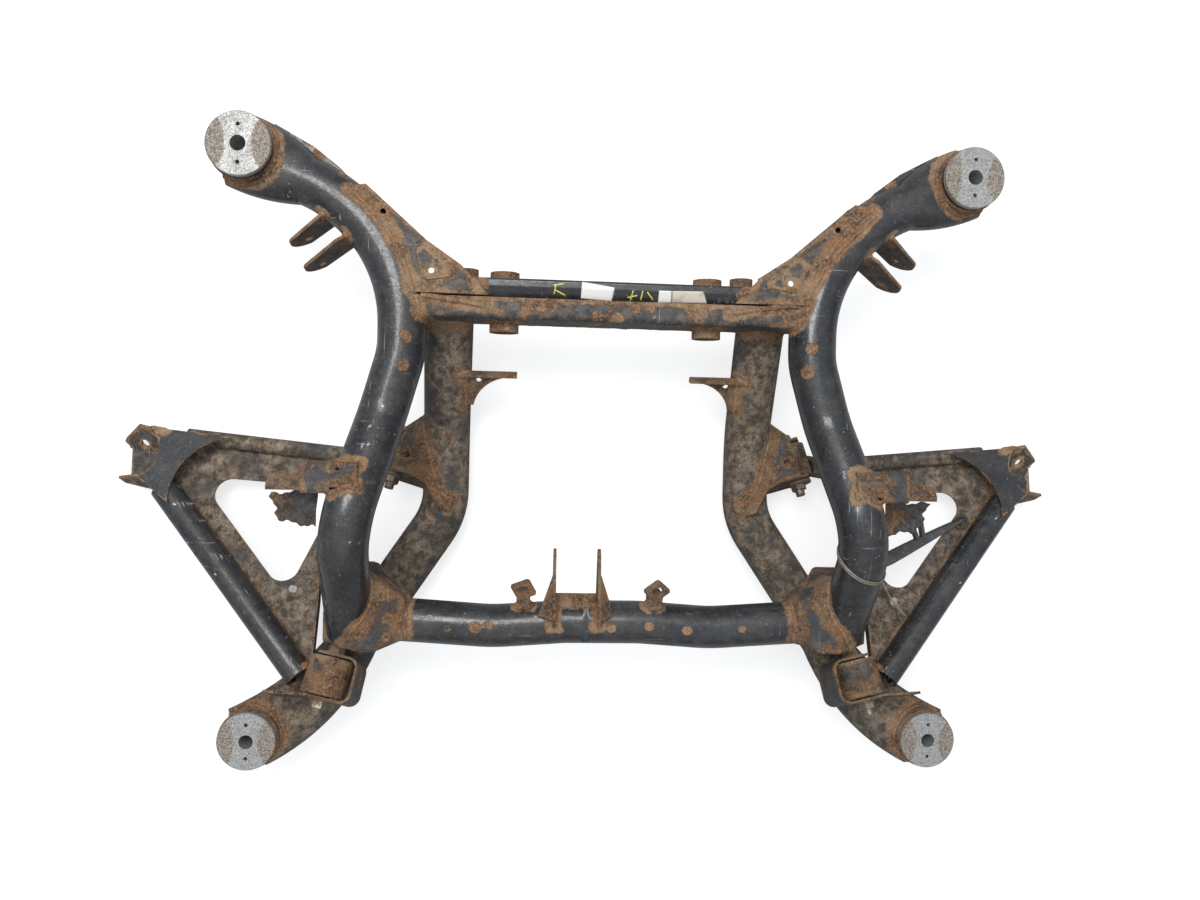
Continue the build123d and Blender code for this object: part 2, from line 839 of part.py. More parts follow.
def eye_spaces():
    """The room that both eyes take up, in the frame of the whole part."""
    front = on_hinge(front_plane(), -front_eye_length, front_eye_length, front_eye_radius + weld_gap)
    rear = on_hinge(rear_plane(), -rear_eye_length, rear_eye_length, rear_eye_radius + weld_gap)
    return front + rear


def arm_pan():
    """Pressed floor of the arm with its window, its inner lip and its rolled front edge."""
    rear_y = -hinge_length()
    outline = [
        (22.0, 16.0),
        (60.0, 2.0),
        (314.0, -46.0),
        (314.0, ear_rear_top_y),
        (30.0, rear_y - 6.0),
        (30.0, rear_y + 24.0),
        (47.0, rear_y + 100.0),
        (63.0, rear_y + 158.0),
        (60.0, -62.0),
        (46.0, -30.0),
        (22.0, -20.0),
    ]
    floor = extrude(Pos(0, 0, arm_floor_z) * make_face(Polyline(*outline, close=True)), arm_wall)
    inner_line = outline[5:8]
    lip_face = make_face(Polyline(*inner_line, *[(x + arm_wall, y) for x, y in reversed(inner_line)], close=True))
    floor += extrude(Pos(0, 0, arm_floor_z) * lip_face, arm_lip_height)
    floor -= extrude(Pos(0, 0, arm_floor_z) * arm_window(), arm_wall)
    pan = floor - arm_edge_bar(arm_edge_radius)
    pan += arm_edge_bar(arm_edge_radius) - arm_edge_bar(arm_edge_radius - arm_edge_wall)
    pan -= arm_tube_bar(arm_tube_radius + weld_gap)
    return largest(front_plane() * pan - eye_spaces())


def arm_tube():
    """Diagonal tube from the rear eye to the outer clevis."""
    tube = arm_tube_bar(arm_tube_radius) - arm_tube_bar(arm_tube_radius - arm_tube_wall)
    return largest(front_plane() * (tube - clevis_form(-weld_gap)) - eye_spaces())


def arm_bridge():
    """Top plate over the outer corner, hollowed by an arc on each side."""
    outline = [
        Line((240.0, -40.0), (362.0, -54.0)),
        ThreePointArc((362.0, -54.0), (336.0, -92.0), (352.0, ear_rear_top_y)),
        Line((352.0, ear_rear_top_y), (296.0, -158.0)),
        ThreePointArc((296.0, -158.0), (290.0, -82.0), (240.0, -40.0)),
    ]
    plate = make_face(Wire(outline).edges())
    low_z = arm_tube_radius + 2 * weld_gap
    return front_plane() * extrude(Pos(0, 0, low_z) * plate, arm_bridge_wall)


def clevis_form(inset):
    """Filled form of the outer channel, its sides sloping, made smaller by an inset."""
    top = arm_tube_radius + weld_gap
    section = Polyline(
        (ear_front_top_y - inset, top),
        (ear_front_low_y - inset, arm_floor_z + inset),
        (ear_rear_low_y + inset, arm_floor_z + inset),
        (ear_rear_top_y + inset, top),
        close=True,
    )
    start = Pos(clevis_root_x - abs(inset), 0, 0)
    return start * extrude(Plane.YZ * make_face(section), ear_reach)


def arm_clevis():
    """Outer channel of the arm: a floor and two ears with the bolt's holes."""
    low = arm_floor_z
    top = arm_tube_radius + weld_gap
    side_outline = Polyline(
        (clevis_root_x, low), (clevis_root_x, top), (380.0, top), (404.0, -6.0), (391.0, low), close=True
    )
    sides = extrude(Plane.XZ * make_face(side_outline), clevis_root_x, both=True)
    clevis = (clevis_form(0) - clevis_form(ear_wall)) & sides
    inner_rear_y = ear_rear_top_y + ear_wall
    floor_cut = Polyline((392.0, -84.0), (377.0, inner_rear_y), (420.0, inner_rear_y), (420.0, -84.0), close=True)
    clevis -= extrude(Pos(0, 0, low) * make_face(floor_cut), ear_wall)
    rear_cut = Polyline((356.0, top), (389.0, -2.0), (383.0, low), (420.0, low), (420.0, top), close=True)
    rear_cut_start = Pos(0, ear_rear_top_y + ear_wall, 0)
    clevis -= rear_cut_start * extrude(Plane.XZ * make_face(rear_cut), 4 * ear_wall)
    bolt_start = (ear_hole_x, ear_rear_low_y - ear_wall, ear_hole_z)
    clevis -= bar(bolt_start, (ear_hole_x, 0, ear_hole_z), ear_hole_radius)
    clevis -= arm_edge_bar(arm_edge_radius + weld_gap)
    return largest(front_plane() * clevis)


# Small brackets


def link_bracket():
    """Two ears that hang from the upper rail and hold a suspension link."""
    turn = Plane(origin=link_hole, x_dir=(1, 0, 0), z_dir=(0, 0, 1)).rotated((0, 0, link_ear_angle))
    with BuildSketch(Plane.XZ) as ear:
        with BuildLine():
            Line((-link_root_length, link_root_rise + 16.0), (-link_root_length + 24.0, link_root_rise + 16.0))
            Line((-link_root_length + 24.0, link_root_rise + 16.0), (link_tip_radius * 0.8, 30.0))
            ThreePointArc(
                (link_tip_radius * 0.8, 30.0), (link_tip_radius, 0), (0, -link_tip_radius)
            )
            Line((0, -link_tip_radius), (-link_root_length, 4.0))
            Line((-link_root_length, 4.0), (-link_root_length, link_root_rise + 16.0))
        make_face()
        Circle(link_hole_radius, mode=Mode.SUBTRACT)
    half = link_gap / 2
    front = Pos(0, half + link_wall, 0) * extrude(ear.sketch, link_wall)
    rear = Pos(0, -half, 0) * extrude(ear.sketch, link_wall)
    web = corner_box((-link_root_length, -half, 12.0), (-link_root_length + link_wall, half, 60.0))
    bracket = turn * (front + rear + web)
    return largest(bracket - upper_rail_form(-weld_gap))


def hose_bracket():
    """Folded bracket on the upper rail's outer side, with two slots in its top."""
    low = (hose_bracket_inner_x, hose_bracket_rear_y, 225.0)
    high = (hose_bracket_outer_x, hose_bracket_front_y, hose_bracket_top_z)
    block = corner_box(low, high)
    block = fillet(block.edges().filter_by(Axis.X).group_by(Axis.Z)[-1], 2 * hose_bracket_wall)
    wall = hose_bracket_wall
    room_low = (hose_bracket_inner_x - 10, hose_bracket_rear_y + wall, 220.0)
    room_high = (hose_bracket_outer_x - wall, hose_bracket_front_y - wall, hose_bracket_top_z - wall)
    shell = block - corner_box(room_low, room_high)
    cut_low = (hose_bracket_outer_x - 26.0, hose_bracket_rear_y - 1, 200.0)
    cut_high = (hose_bracket_outer_x + 1.0, hose_bracket_front_y + 1, hose_bracket_top_z - 26.0)
    shell -= corner_box(cut_low, cut_high)
    for y in (-5.0, -30.0):
        slot = extrude(SlotOverall(12.0, 4.0), 20.0, both=True)
        shell -= Pos(350.0, y, hose_bracket_top_z) * slot
    lip_low = (hose_bracket_outer_x - wall, hose_lip_rear_y, hose_bracket_top_z - 28.0)
    lip_high = (hose_lip_outer_x, hose_lip_front_y, hose_bracket_top_z - 25.0)
    lip = corner_box(lip_low, lip_high)
    lip_corners = lip.edges().filter_by(Axis.Z).group_by(Axis.X)[-1]
    shell += fillet(lip_corners.sort_by(Axis.Y)[-1], (hose_lip_front_y - hose_lip_rear_y) * 0.8)
    return largest(shell - upper_rail_form(-weld_gap))


def rail_shelf():
    """Three-cornered shelf on the lower rail's inner side, with a flange in front."""
    depth = shelf_front_y - shelf_root_y
    root_x = lower_straight_x
    with BuildSketch() as plate:
        with BuildLine():
            Line((root_x, 0), (shelf_tip_x, 0))
            Line((shelf_tip_x, 0), (shelf_tip_x, -8.0))
            ThreePointArc((shelf_tip_x, -8.0), (175.0, -24.0), (192.0, -depth))
            Line((192.0, -depth), (root_x, -depth))
            Line((root_x, -depth), (root_x, 0))
        make_face()
        with Locations((184.0, -14.0)):
            Circle(4.0, mode=Mode.SUBTRACT)
    shelf = extrude(plate.sketch, shelf_wall)
    shelf += corner_box((shelf_tip_x, -shelf_wall, 0), (root_x, 0, shelf_flange))
    placed = Pos(0, shelf_front_y, shelf_front_z) * Rot(shelf_slope, 0, 0) * shelf
    return largest(placed - lower_rail_form(-weld_gap))


# Pieces by node name

right_side = {
    "upper_rail": upper_rail(),
    "lower_rail": lower_rail(),
    "crossmember_gusset": crossmember_gusset(),
    "rear_corner": rear_corner(),
    "cam_bracket": cam_bracket(),
    "rear_bracket": rear_bracket(),
    "link_bracket": link_bracket(),
    "hose_bracket": hose_bracket(),
    "rail_shelf": rail_shelf(),
    "arm_pan": arm_pan(),
    "arm_tube": arm_tube(),
    "arm_bridge": arm_bridge(),
    "arm_clevis": arm_clevis(),
    "arm_front_eye": eye(front_plane(), front_eye_radius, front_eye_length),
    "arm_rear_eye": eye(rear_plane(), rear_eye_radius, rear_eye_length),
    "arm_front_rubber": eye_rubber(front_plane(), front_eye_radius, front_eye_length),
    "arm_rear_rubber": eye_rubber(rear_plane(), rear_eye_radius, rear_eye_length),
}

# Identical pieces of both sides that share a node
paired = {
    "pivot_sleeves": [
        pivot_sleeve(front_plane(), front_eye_length),
        pivot_sleeve(rear_plane(), rear_eye_length),
    ],
    "cam_bolts": [pivot_bolt(front_plane(), front_eye_length, cam_washer_thickness)],
    "cam_nuts": [pivot_nut(front_plane(), front_eye_length, cam_washer_thickness)],
    "cam_washers": pivot_washers(
        front_plane(), front_eye_length, cam_washer_radius, cam_washer_thickness, cam_offset
    ),
    "rear_pivot_bolts": [pivot_bolt(rear_plane(), rear_eye_length, washer_thickness)],
    "rear_pivot_nuts": [pivot_nut(rear_plane(), rear_eye_length, washer_thickness)],
    "rear_pivot_washers": pivot_washers(
        rear_plane(), rear_eye_length, washer_radius, washer_thickness, 0.0
    ),
}

nodes = {
    "crossmember_front": crossmember_front(),
    "crossmember_rear": crossmember_rear(),
    "diff_sleeves": Compound([diff_sleeve(diff_sleeve_left_x), diff_sleeve(diff_sleeve_right_x)]),
    "crossmember_collars": Compound([collar(collar_left_x), collar(collar_right_x)]),
    "rear_cross_tube": rear_cross_tube(),
    "rear_mount": rear_mount(),
    "rear_tabs": Compound([rear_tab(tab_left_x, 25), rear_tab(tab_right_x, 45)]),
}

for name, shape in right_side.items():
    nodes[name + "_right"] = shape
    nodes[name + "_left"] = mirrored(shape)

for name, shapes in paired.items():
    solids = [solid for shape in shapes for solid in shape.solids()]
    nodes[name] = Compound(solids + [mirrored(solid) for solid in solids])

bush_places = {
    "front": (front_bush_x, bush_row_y, front_face_z, front_face_z - front_bush_stand),
    "rear": (rear_bush_x, -bush_row_y, rear_face_z, rear_face_z - rear_bush_stand),
}
for row, (x, y, face_z, top) in bush_places.items():
    rubber = bush_rubber(x, y, face_z, top)
    nodes[f"{row}_bush_rubbers"] = Compound([rubber, mirrored(rubber)])
    for side, sign in (("left", -1), ("right", 1)):
        nodes[f"{row}_bush_housing_{side}"] = bush_housing(sign * x, y, top)
        nodes[f"{row}_bush_core_{side}"] = bush_core(sign * x, y, face_z, top)

os.makedirs("parts", exist_ok=True)
for name, shape in nodes.items():
    export_step(shape, f"parts/{name}.step")
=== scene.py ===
"""Looks of a used rear subframe: a welded cradle with both lower control arms.

Each CAD node is carried over as a finely divided skin whose points know how far they are from a
weld, from an edge and from a worn place, so that rust, paint and dirt follow the metal.
"""
import json
import logging
import math
from dataclasses import dataclass, field
from enum import Enum
from typing import Any, Iterable, Sequence

import bpy
import numpy as np
from mathutils import Matrix, Vector
from mathutils.bvhtree import BVHTree
from mathutils.kdtree import KDTree

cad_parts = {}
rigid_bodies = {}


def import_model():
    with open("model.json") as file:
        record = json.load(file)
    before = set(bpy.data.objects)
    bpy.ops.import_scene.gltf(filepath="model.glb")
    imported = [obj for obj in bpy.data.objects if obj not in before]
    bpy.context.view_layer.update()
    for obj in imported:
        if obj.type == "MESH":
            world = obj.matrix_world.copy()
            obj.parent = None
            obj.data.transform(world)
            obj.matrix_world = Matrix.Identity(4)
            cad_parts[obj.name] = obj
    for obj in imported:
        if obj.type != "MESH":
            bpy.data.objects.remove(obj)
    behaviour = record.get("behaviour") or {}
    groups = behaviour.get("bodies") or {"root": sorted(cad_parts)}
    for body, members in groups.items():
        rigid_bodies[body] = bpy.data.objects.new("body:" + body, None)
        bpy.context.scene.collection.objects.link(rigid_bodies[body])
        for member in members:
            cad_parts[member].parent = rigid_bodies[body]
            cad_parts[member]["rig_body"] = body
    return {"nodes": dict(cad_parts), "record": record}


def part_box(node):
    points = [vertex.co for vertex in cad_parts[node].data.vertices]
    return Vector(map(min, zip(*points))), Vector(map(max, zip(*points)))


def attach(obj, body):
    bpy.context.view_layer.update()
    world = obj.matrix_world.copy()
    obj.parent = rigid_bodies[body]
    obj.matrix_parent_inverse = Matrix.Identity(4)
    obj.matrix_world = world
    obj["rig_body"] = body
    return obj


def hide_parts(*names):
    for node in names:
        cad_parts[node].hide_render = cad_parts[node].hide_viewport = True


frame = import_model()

LOG = logging.getLogger("subframe")
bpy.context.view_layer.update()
FAR_AWAY = 1.0
MM = 0.001
CELL_ROW = 1024
COAT_ROUGHNESS = 0.1
SIDES = ("left", "right")
RAIL_CELL, PAN_CELL, SHEET_CELL, ROUND_CELL = 0.024, 0.012, 0.007, 0.03

Colour = tuple[float, float, float]
Point = tuple[float, float, float]
Flat = tuple[float, float]
Cells = tuple[tuple[str, float], ...]
Pairs = tuple[tuple[str, str], ...]
Ridges = tuple[tuple[str, tuple[Flat, ...]], ...]


class Mark(Enum):
    """What a skin's points carry for the finishes to read, in metres."""

    WELD = "weld_distance"
    EDGE = "edge_distance"
    HOLLOW = "hollow_distance"
    SPOT = "spot_distance"
    CHIP = "chip_distance"
    ACROSS = "across_middle"
    ALONG = "along_middle"


class Stain(Enum):
    """Which worn places a list of spots stands for."""

    RUST = Mark.SPOT
    BARE = Mark.CHIP


# Meshes


@dataclass
class Surface:
    """Triangles with a smooth normal at each point.

    Attributes:
        points: Places of the points, one row each, in metres.
        normals: Unit normals of the points.
        faces: Indices of each triangle's three points.
    """

    points: np.ndarray
    normals: np.ndarray
    faces: np.ndarray

    @staticmethod
    def of_node(node: bpy.types.Object) -> "Surface":
        """Reads the triangles of a CAD node.

        Args:
            node: The node's mesh object.

        Returns:
            Its surface, with split points where the shading is sharp.
        """
        mesh = node.data
        mesh.calc_loop_triangles()
        points = np.empty(3 * len(mesh.vertices))
        mesh.vertices.foreach_get("co", points)
        faces = np.empty(3 * len(mesh.loop_triangles), dtype=np.int64)
        mesh.loop_triangles.foreach_get("vertices", faces)
        corner_points = np.empty(len(mesh.loops), dtype=np.int64)
        mesh.loops.foreach_get("vertex_index", corner_points)
        corner_normals = np.empty(3 * len(mesh.loops))
        mesh.corner_normals.foreach_get("vector", corner_normals)
        normals = np.zeros((len(mesh.vertices), 3))
        normals[corner_points] = corner_normals.reshape(-1, 3)
        return Surface(points.reshape(-1, 3), normals, faces.reshape(-1, 3))

    def sliced(self, cell: float, longest: float = 1.4, rounds: int = 3) -> "Surface":
        """Cuts each long triangle along evenly spaced planes across its longest way.

        Args:
            cell: Spacing of the planes, in metres.
            longest: How far a triangle may reach uncut, in cells.
            rounds: How often the pieces are cut again.

        Returns:
            The finer surface, of the same shape.
        """
        surface = self
        for _ in range(rounds):
            corners = surface.points[surface.faces]
            spans = corners.max(axis=1) - corners.min(axis=1)
            axis = np.where(spans.max(axis=1) > longest * cell, spans.argmax(axis=1), -1)
            points, normals, done = surface.points, surface.normals, [surface.faces[axis < 0]]
            for k in range(3):
                part = Surface(points, normals, surface.faces[axis == k]).cut_across(k, cell)
                points, normals = part.points, part.normals
                done.append(part.faces)
            surface = Surface(points, normals, np.vstack(done))
        return surface

    def refined(self, chosen: np.ndarray, cell: float) -> "Surface":
        """Slices only some of the triangles.

        Args:
            chosen: True for each triangle that is sliced.
            cell: Spacing of the planes, in metres.

        Returns:
            The surface with those triangles cut.
        """
        fine = Surface(self.points, self.normals, self.faces[chosen]).sliced(cell)
        return Surface(fine.points, fine.normals, np.vstack([self.faces[~chosen], fine.faces]))

    def cut_across(self, axis: int, cell: float) -> "Surface":
        """Cuts the triangles along evenly spaced planes across one axis.

        Args:
            axis: Number of the axis.
            cell: Spacing of the planes, in metres.

        Returns:
            The cut surface, with each cut point shared by all that meet there.
        """
        points, faces = self.points, self.faces
        levels = points[:, axis] / cell

        # Each edge once, with a new point wherever a plane crosses it
        sides = np.sort(faces[:, [[0, 1], [1, 2], [2, 0]]].reshape(-1, 2), axis=1)
        keys, place = np.unique(sides[:, 0] * len(points) + sides[:, 1], return_inverse=True)
        place = place.reshape(-1, 3)
        a, b = np.divmod(keys, len(points))
        first = np.floor(np.minimum(levels[a], levels[b])).astype(int) + 1
        counts = np.maximum(0, np.ceil(np.maximum(levels[a], levels[b])).astype(int) - first)
        before = len(points) + np.cumsum(counts) - counts - first
        owner = np.repeat(np.arange(len(keys)), counts)
        level = len(points) + np.arange(len(owner)) - before[owner]
        share = ((level - levels[a[owner]]) / (levels[b] - levels[a])[owner])[:, None]
        added = points[a[owner]] * (1 - share) + points[b[owner]] * share
        between = self.normals[a[owner]] * (1 - share) + self.normals[b[owner]] * share
        between /= np.maximum(np.linalg.norm(between, axis=1, keepdims=True), 1e-9)

        # Each triangle's corners from low to high, its long edge and both halves of its bent side
        order = np.argsort(levels[faces], axis=1, kind="stable")
        rows = np.arange(len(faces))
        low, middle, high = (faces[rows, order[:, k]] for k in range(3))
        whole, lower, upper = (
            place[rows, np.where((order[:, j] - order[:, i]) % 3 == 1, order[:, i], order[:, j])]
            for i, j in ((0, 2), (0, 1), (1, 2))
        )

        # Rungs from the long edge to the bent side: the low corner, every plane, the high corner
        cuts = counts[whole]
        face = np.repeat(rows, cuts)
        rank = np.arange(len(face)) - (np.cumsum(cuts) - cuts)[face]
        height = first[whole][face] + rank
        turn = levels[middle][face]
        broken = np.where(height < turn, before[lower][face], before[upper][face]) + height
        start = np.cumsum(cuts + 2) - cuts - 2
        rungs = np.empty((len(face) + 2 * len(faces), 2), dtype=np.int64)
        rungs[start] = low[:, None]
        rungs[start + cuts + 1] = high[:, None]
        rungs[start[face] + 1 + rank, 0] = before[whole][face] + height
        rungs[start[face] + 1 + rank, 1] = np.where(height == turn, middle[face], broken)
        heights = np.full(len(rungs), -np.inf)
        heights[start + cuts + 1] = np.inf
        heights[start[face] + 1 + rank] = height

        # Triangles from each rung to the next, round the middle corner where that lies between
        here = np.delete(np.arange(len(rungs)), start + cuts + 1)
        face = np.repeat(rows, cuts + 1)
        (p, q), (onward_p, onward_q) = rungs[here].T, rungs[here + 1].T
        corner = middle[face]
        bent = (heights[here] < levels[corner]) & (levels[corner] < heights[here + 1])
        made = np.vstack([
            np.stack([p, onward_p, onward_q], 1),
            np.stack([p, onward_q, np.where(bent, corner, q)], 1),
            np.stack([p, corner, q], 1)[bent],
        ])

        # They face as the whole triangle did, and those without an area are left out
        even = (order[:, 1] - order[:, 0]) % 3 == 1
        even = np.concatenate([even[face], even[face], even[face][bent]])
        made[even] = made[even][:, ::-1]
        sound = (made != np.roll(made, 1, axis=1)).all(axis=1)
        return Surface(np.vstack([points, added]), np.vstack([self.normals, between]), made[sound])

    def face_normals(self) -> np.ndarray:
        """Unit normal of each triangle, worked out from its corners.

        Returns:
            One row for each triangle.
        """
        a, b, c = (self.points[self.faces[:, k]] for k in range(3))
        cross = np.cross(b - a, c - a)
        return cross / np.maximum(np.linalg.norm(cross, axis=1, keepdims=True), 1e-15)

    def to_object(self, name: str) -> bpy.types.Object:
        """Makes a mesh object of the surface that keeps its normals.

        Args:
            name: The object's name.

        Returns:
            The linked object.
        """
        mesh = bpy.data.meshes.new(name)
        mesh.from_pydata(self.points.tolist(), [], self.faces.tolist())
        mesh.shade_smooth()
        mesh.normals_split_custom_set_from_vertices(self.normals.tolist())
        made = bpy.data.objects.new(name, mesh)
        bpy.context.scene.collection.objects.link(made)
        return made


@dataclass
class Creases:
    """Sharp edges of a surface.

    Attributes:
        ends: Both ends of each edge, one row of two points each.
        sides: Normals of the two faces at each edge.
        outward: True where the metal stands out at the edge.
    """

    ends: np.ndarray
    sides: np.ndarray
    outward: np.ndarray

    @staticmethod
    def of_surface(surface: Surface, sharpest_cosine: float = 0.86) -> "Creases":
        """Finds the edges at which a surface turns sharply.

        Args:
            surface: The surface to search.
            sharpest_cosine: Cosine of the least turn that counts.

        Returns:
            The edges found.
        """
        snapped, same = np.unique(np.round(surface.points, 5), axis=0, return_inverse=True)
        faces = same.reshape(-1)[surface.faces]
        sides = np.sort(faces[:, [[0, 1], [1, 2], [2, 0]]].reshape(-1, 2), axis=1)
        owner = np.repeat(np.arange(len(faces)), 3)
        order = np.lexsort((sides[:, 1], sides[:, 0]))
        sides, owner = sides[order], owner[order]
        twin = np.flatnonzero((sides[1:] == sides[:-1]).all(axis=1))
        normals = surface.face_normals()
        first, second = normals[owner[twin]], normals[owner[twin + 1]]
        sharp = (first * second).sum(axis=1) < sharpest_cosine
        twin, first, second = twin[sharp], first[sharp], second[sharp]
        ends = snapped[sides[twin]]
        centres = snapped[faces[owner[twin + 1]]].mean(axis=1)
        outward = ((centres - ends[:, 0]) * first).sum(axis=1) < 0
        return Creases(ends, np.stack([first, second], 1), outward)

    def cut(self, step: float) -> tuple[np.ndarray, np.ndarray, np.ndarray]:
        """Cuts the edges into short lengths.

        Args:
            step: Length that no cut passes by much, in metres.

        Returns:
            For each length, its edge's index, its start and its end.
        """
        starts = self.ends[:, 0]
        spans = self.ends[:, 1] - starts
        counts = np.maximum(1, np.rint(np.linalg.norm(spans, axis=1) / step)).astype(int)
        owner = np.repeat(np.arange(len(counts)), counts)
        rank = (np.arange(len(owner)) - (np.cumsum(counts) - counts)[owner])[:, None]
        total = counts[owner][:, None]
        low = starts[owner] + rank / total * spans[owner]
        high = starts[owner] + (rank + 1) / total * spans[owner]
        return owner, low, high

    def spaced(self, chosen: np.ndarray, step: float) -> np.ndarray:
        """Points along the chosen edges, about a step apart."""
        owner, low, high = self.cut(step)
        return ((low + high) / 2)[chosen[owner]]


@dataclass
class Nearness:
    """Finds how far points are from some places, as far as a finish cares.

    Attributes:
        places: The places, one row each, in metres.
        reach: Distance past which everything counts as far away.
    """

    places: np.ndarray
    reach: float = 0.036

    def __post_init__(self) -> None:
        """Sorts the places into a tree."""
        self.tree = KDTree(max(1, len(self.places)))
        for index, place in enumerate(self.places.tolist()):
            self.tree.insert(place, index)
        self.tree.balance()

    def cells(self, points: np.ndarray) -> np.ndarray:
        """Number of the coarse cell that each point lies in."""
        steps = np.floor(points / self.reach).astype(np.int64) + CELL_ROW // 2
        return (steps[:, 0] * CELL_ROW + steps[:, 1]) * CELL_ROW + steps[:, 2]

    def of(self, points: np.ndarray) -> np.ndarray:
        """Distance of each point to the nearest place.

        Args:
            points: Places to measure from.

        Returns:
            The distances, in metres.
        """
        away = np.full(len(points), FAR_AWAY)
        if not len(self.places):
            return away
        near = (-1, 0, 1)
        around = np.array([(x * CELL_ROW + y) * CELL_ROW + z for x in near for y in near for z in near])
        known = np.unique(self.cells(self.places))[:, None] + around
        close = np.flatnonzero(np.isin(self.cells(points), known))
        away[close] = [self.tree.find(point)[2] for point in points[close].tolist()]
        return away


# Welds


@dataclass
class Seam:
    """One run of weld between two pieces.

    Attributes:
        points: The run's places, in order.
        lean: Direction from the corner into the open, at each place.
        closed: True where the run comes back to its start.
    """

    points: np.ndarray
    lean: np.ndarray
    closed: bool


@dataclass
class WeldFinder:
    """Finds where the edge of one piece lies on another.

    Attributes:
        reach: Furthest that an edge may stand off the other piece.
        step: Spacing of the places that are tried along an edge.
        view: Length of free space that an open weld has in front of it.
        shortest: Shortest run that is kept.
        least_facing: Least that an edge's face may look towards the other piece's normal.
        least_lean: Least length of both normals' sum that shows a way out.
        stand_off: Distance from the metal at which the view is tried.
    """

    reach: float = 0.0009
    step: float = 0.003
    view: float = 0.03
    shortest: float = 0.012
    least_facing: float = -0.5
    least_lean: float = 0.3
    stand_off: float = 0.002

    def seams(
        self, creases: Creases, other: BVHTree, bounds: np.ndarray, everything: BVHTree
    ) -> list[Seam]:
        """Finds the open weld runs of one piece on another.

        Args:
            creases: Edges of the piece.
            other: The piece that it lies on.
            bounds: Lowest and highest corner of the other piece.
            everything: All pieces, to tell what is open.

        Returns:
            The runs, each in order along its edge.
        """
        links: dict[tuple, list[tuple]] = {}
        leans: dict[tuple, np.ndarray] = {}
        owner, low, high = creases.cut(self.step)
        middle = (low + high) / 2
        inside = (middle > bounds[0] - self.reach) & (middle < bounds[1] + self.reach)
        for k in np.flatnonzero(inside.all(axis=1)):
            lean = self.open_lean(middle[k], creases.sides[owner[k]], other, everything)
            if lean is None:
                continue
            keys = tuple(tuple(np.round(p, 5)) for p in (low[k], high[k]))
            if keys[0] == keys[1]:
                continue
            for key, mate in (keys, keys[::-1]):
                links.setdefault(key, []).append(mate)
                leans[key] = leans.get(key, 0) + lean
        return [seam for seam in self.chains(links, leans) if self.length(seam) > self.shortest]

    def open_lean(
        self, place: np.ndarray, sides: np.ndarray, other: BVHTree, everything: BVHTree
    ) -> np.ndarray | None:
        """Direction into the open at a place of an edge, or None where there is no weld.

        Args:
            place: The place on the edge.
            sides: Normals of both faces at the edge.
            other: The piece that the edge lies on.
            everything: All pieces, to tell what is open.

        Returns:
            The unit direction, or None.
        """
        _, normal, _, _ = other.find_nearest(Vector(place), self.reach)
        if normal is None:
            return None
        facing = sides @ np.array(normal)
        free = sides[int(np.argmax(facing))]
        if facing.max() < self.least_facing:
            return None
        lean = free + np.array(normal)
        size = np.linalg.norm(lean)
        if size < self.least_lean:
            return None
        lean /= size
        hit = everything.ray_cast(Vector(place + self.stand_off * lean), Vector(lean), self.view)
        return None if hit[0] is not None else lean

    def chains(self, links: dict, leans: dict) -> Iterable[Seam]:
        """Joins linked places into runs.

        Args:
            links: Neighbours of each place.
            leans: Direction into the open at each place.

        Returns:
            Each run, in order along its edge.
        """
        used: set[frozenset] = set()
        starts = [key for key, mates in links.items() if len(mates) == 1] + list(links)
        for start in starts:
            run = [start]
            while True:
                here = run[-1]
                onward = [m for m in links[here] if frozenset((here, m)) not in used]
                if not onward:
                    break
                used.add(frozenset((here, onward[0])))
                run.append(onward[0])
            if len(run) > 2:
                closed = run[0] == run[-1]
                keys = run[:-1] if closed else run
                lean = np.array([leans[key] for key in keys])
                lean /= np.maximum(np.linalg.norm(lean, axis=1, keepdims=True), 1e-9)
                yield Seam(np.array(keys), lean, closed)

    @staticmethod
    def length(seam: Seam) -> float:
        """Length of a run."""
        return float(np.linalg.norm(np.diff(seam.points, axis=0), axis=1).sum())


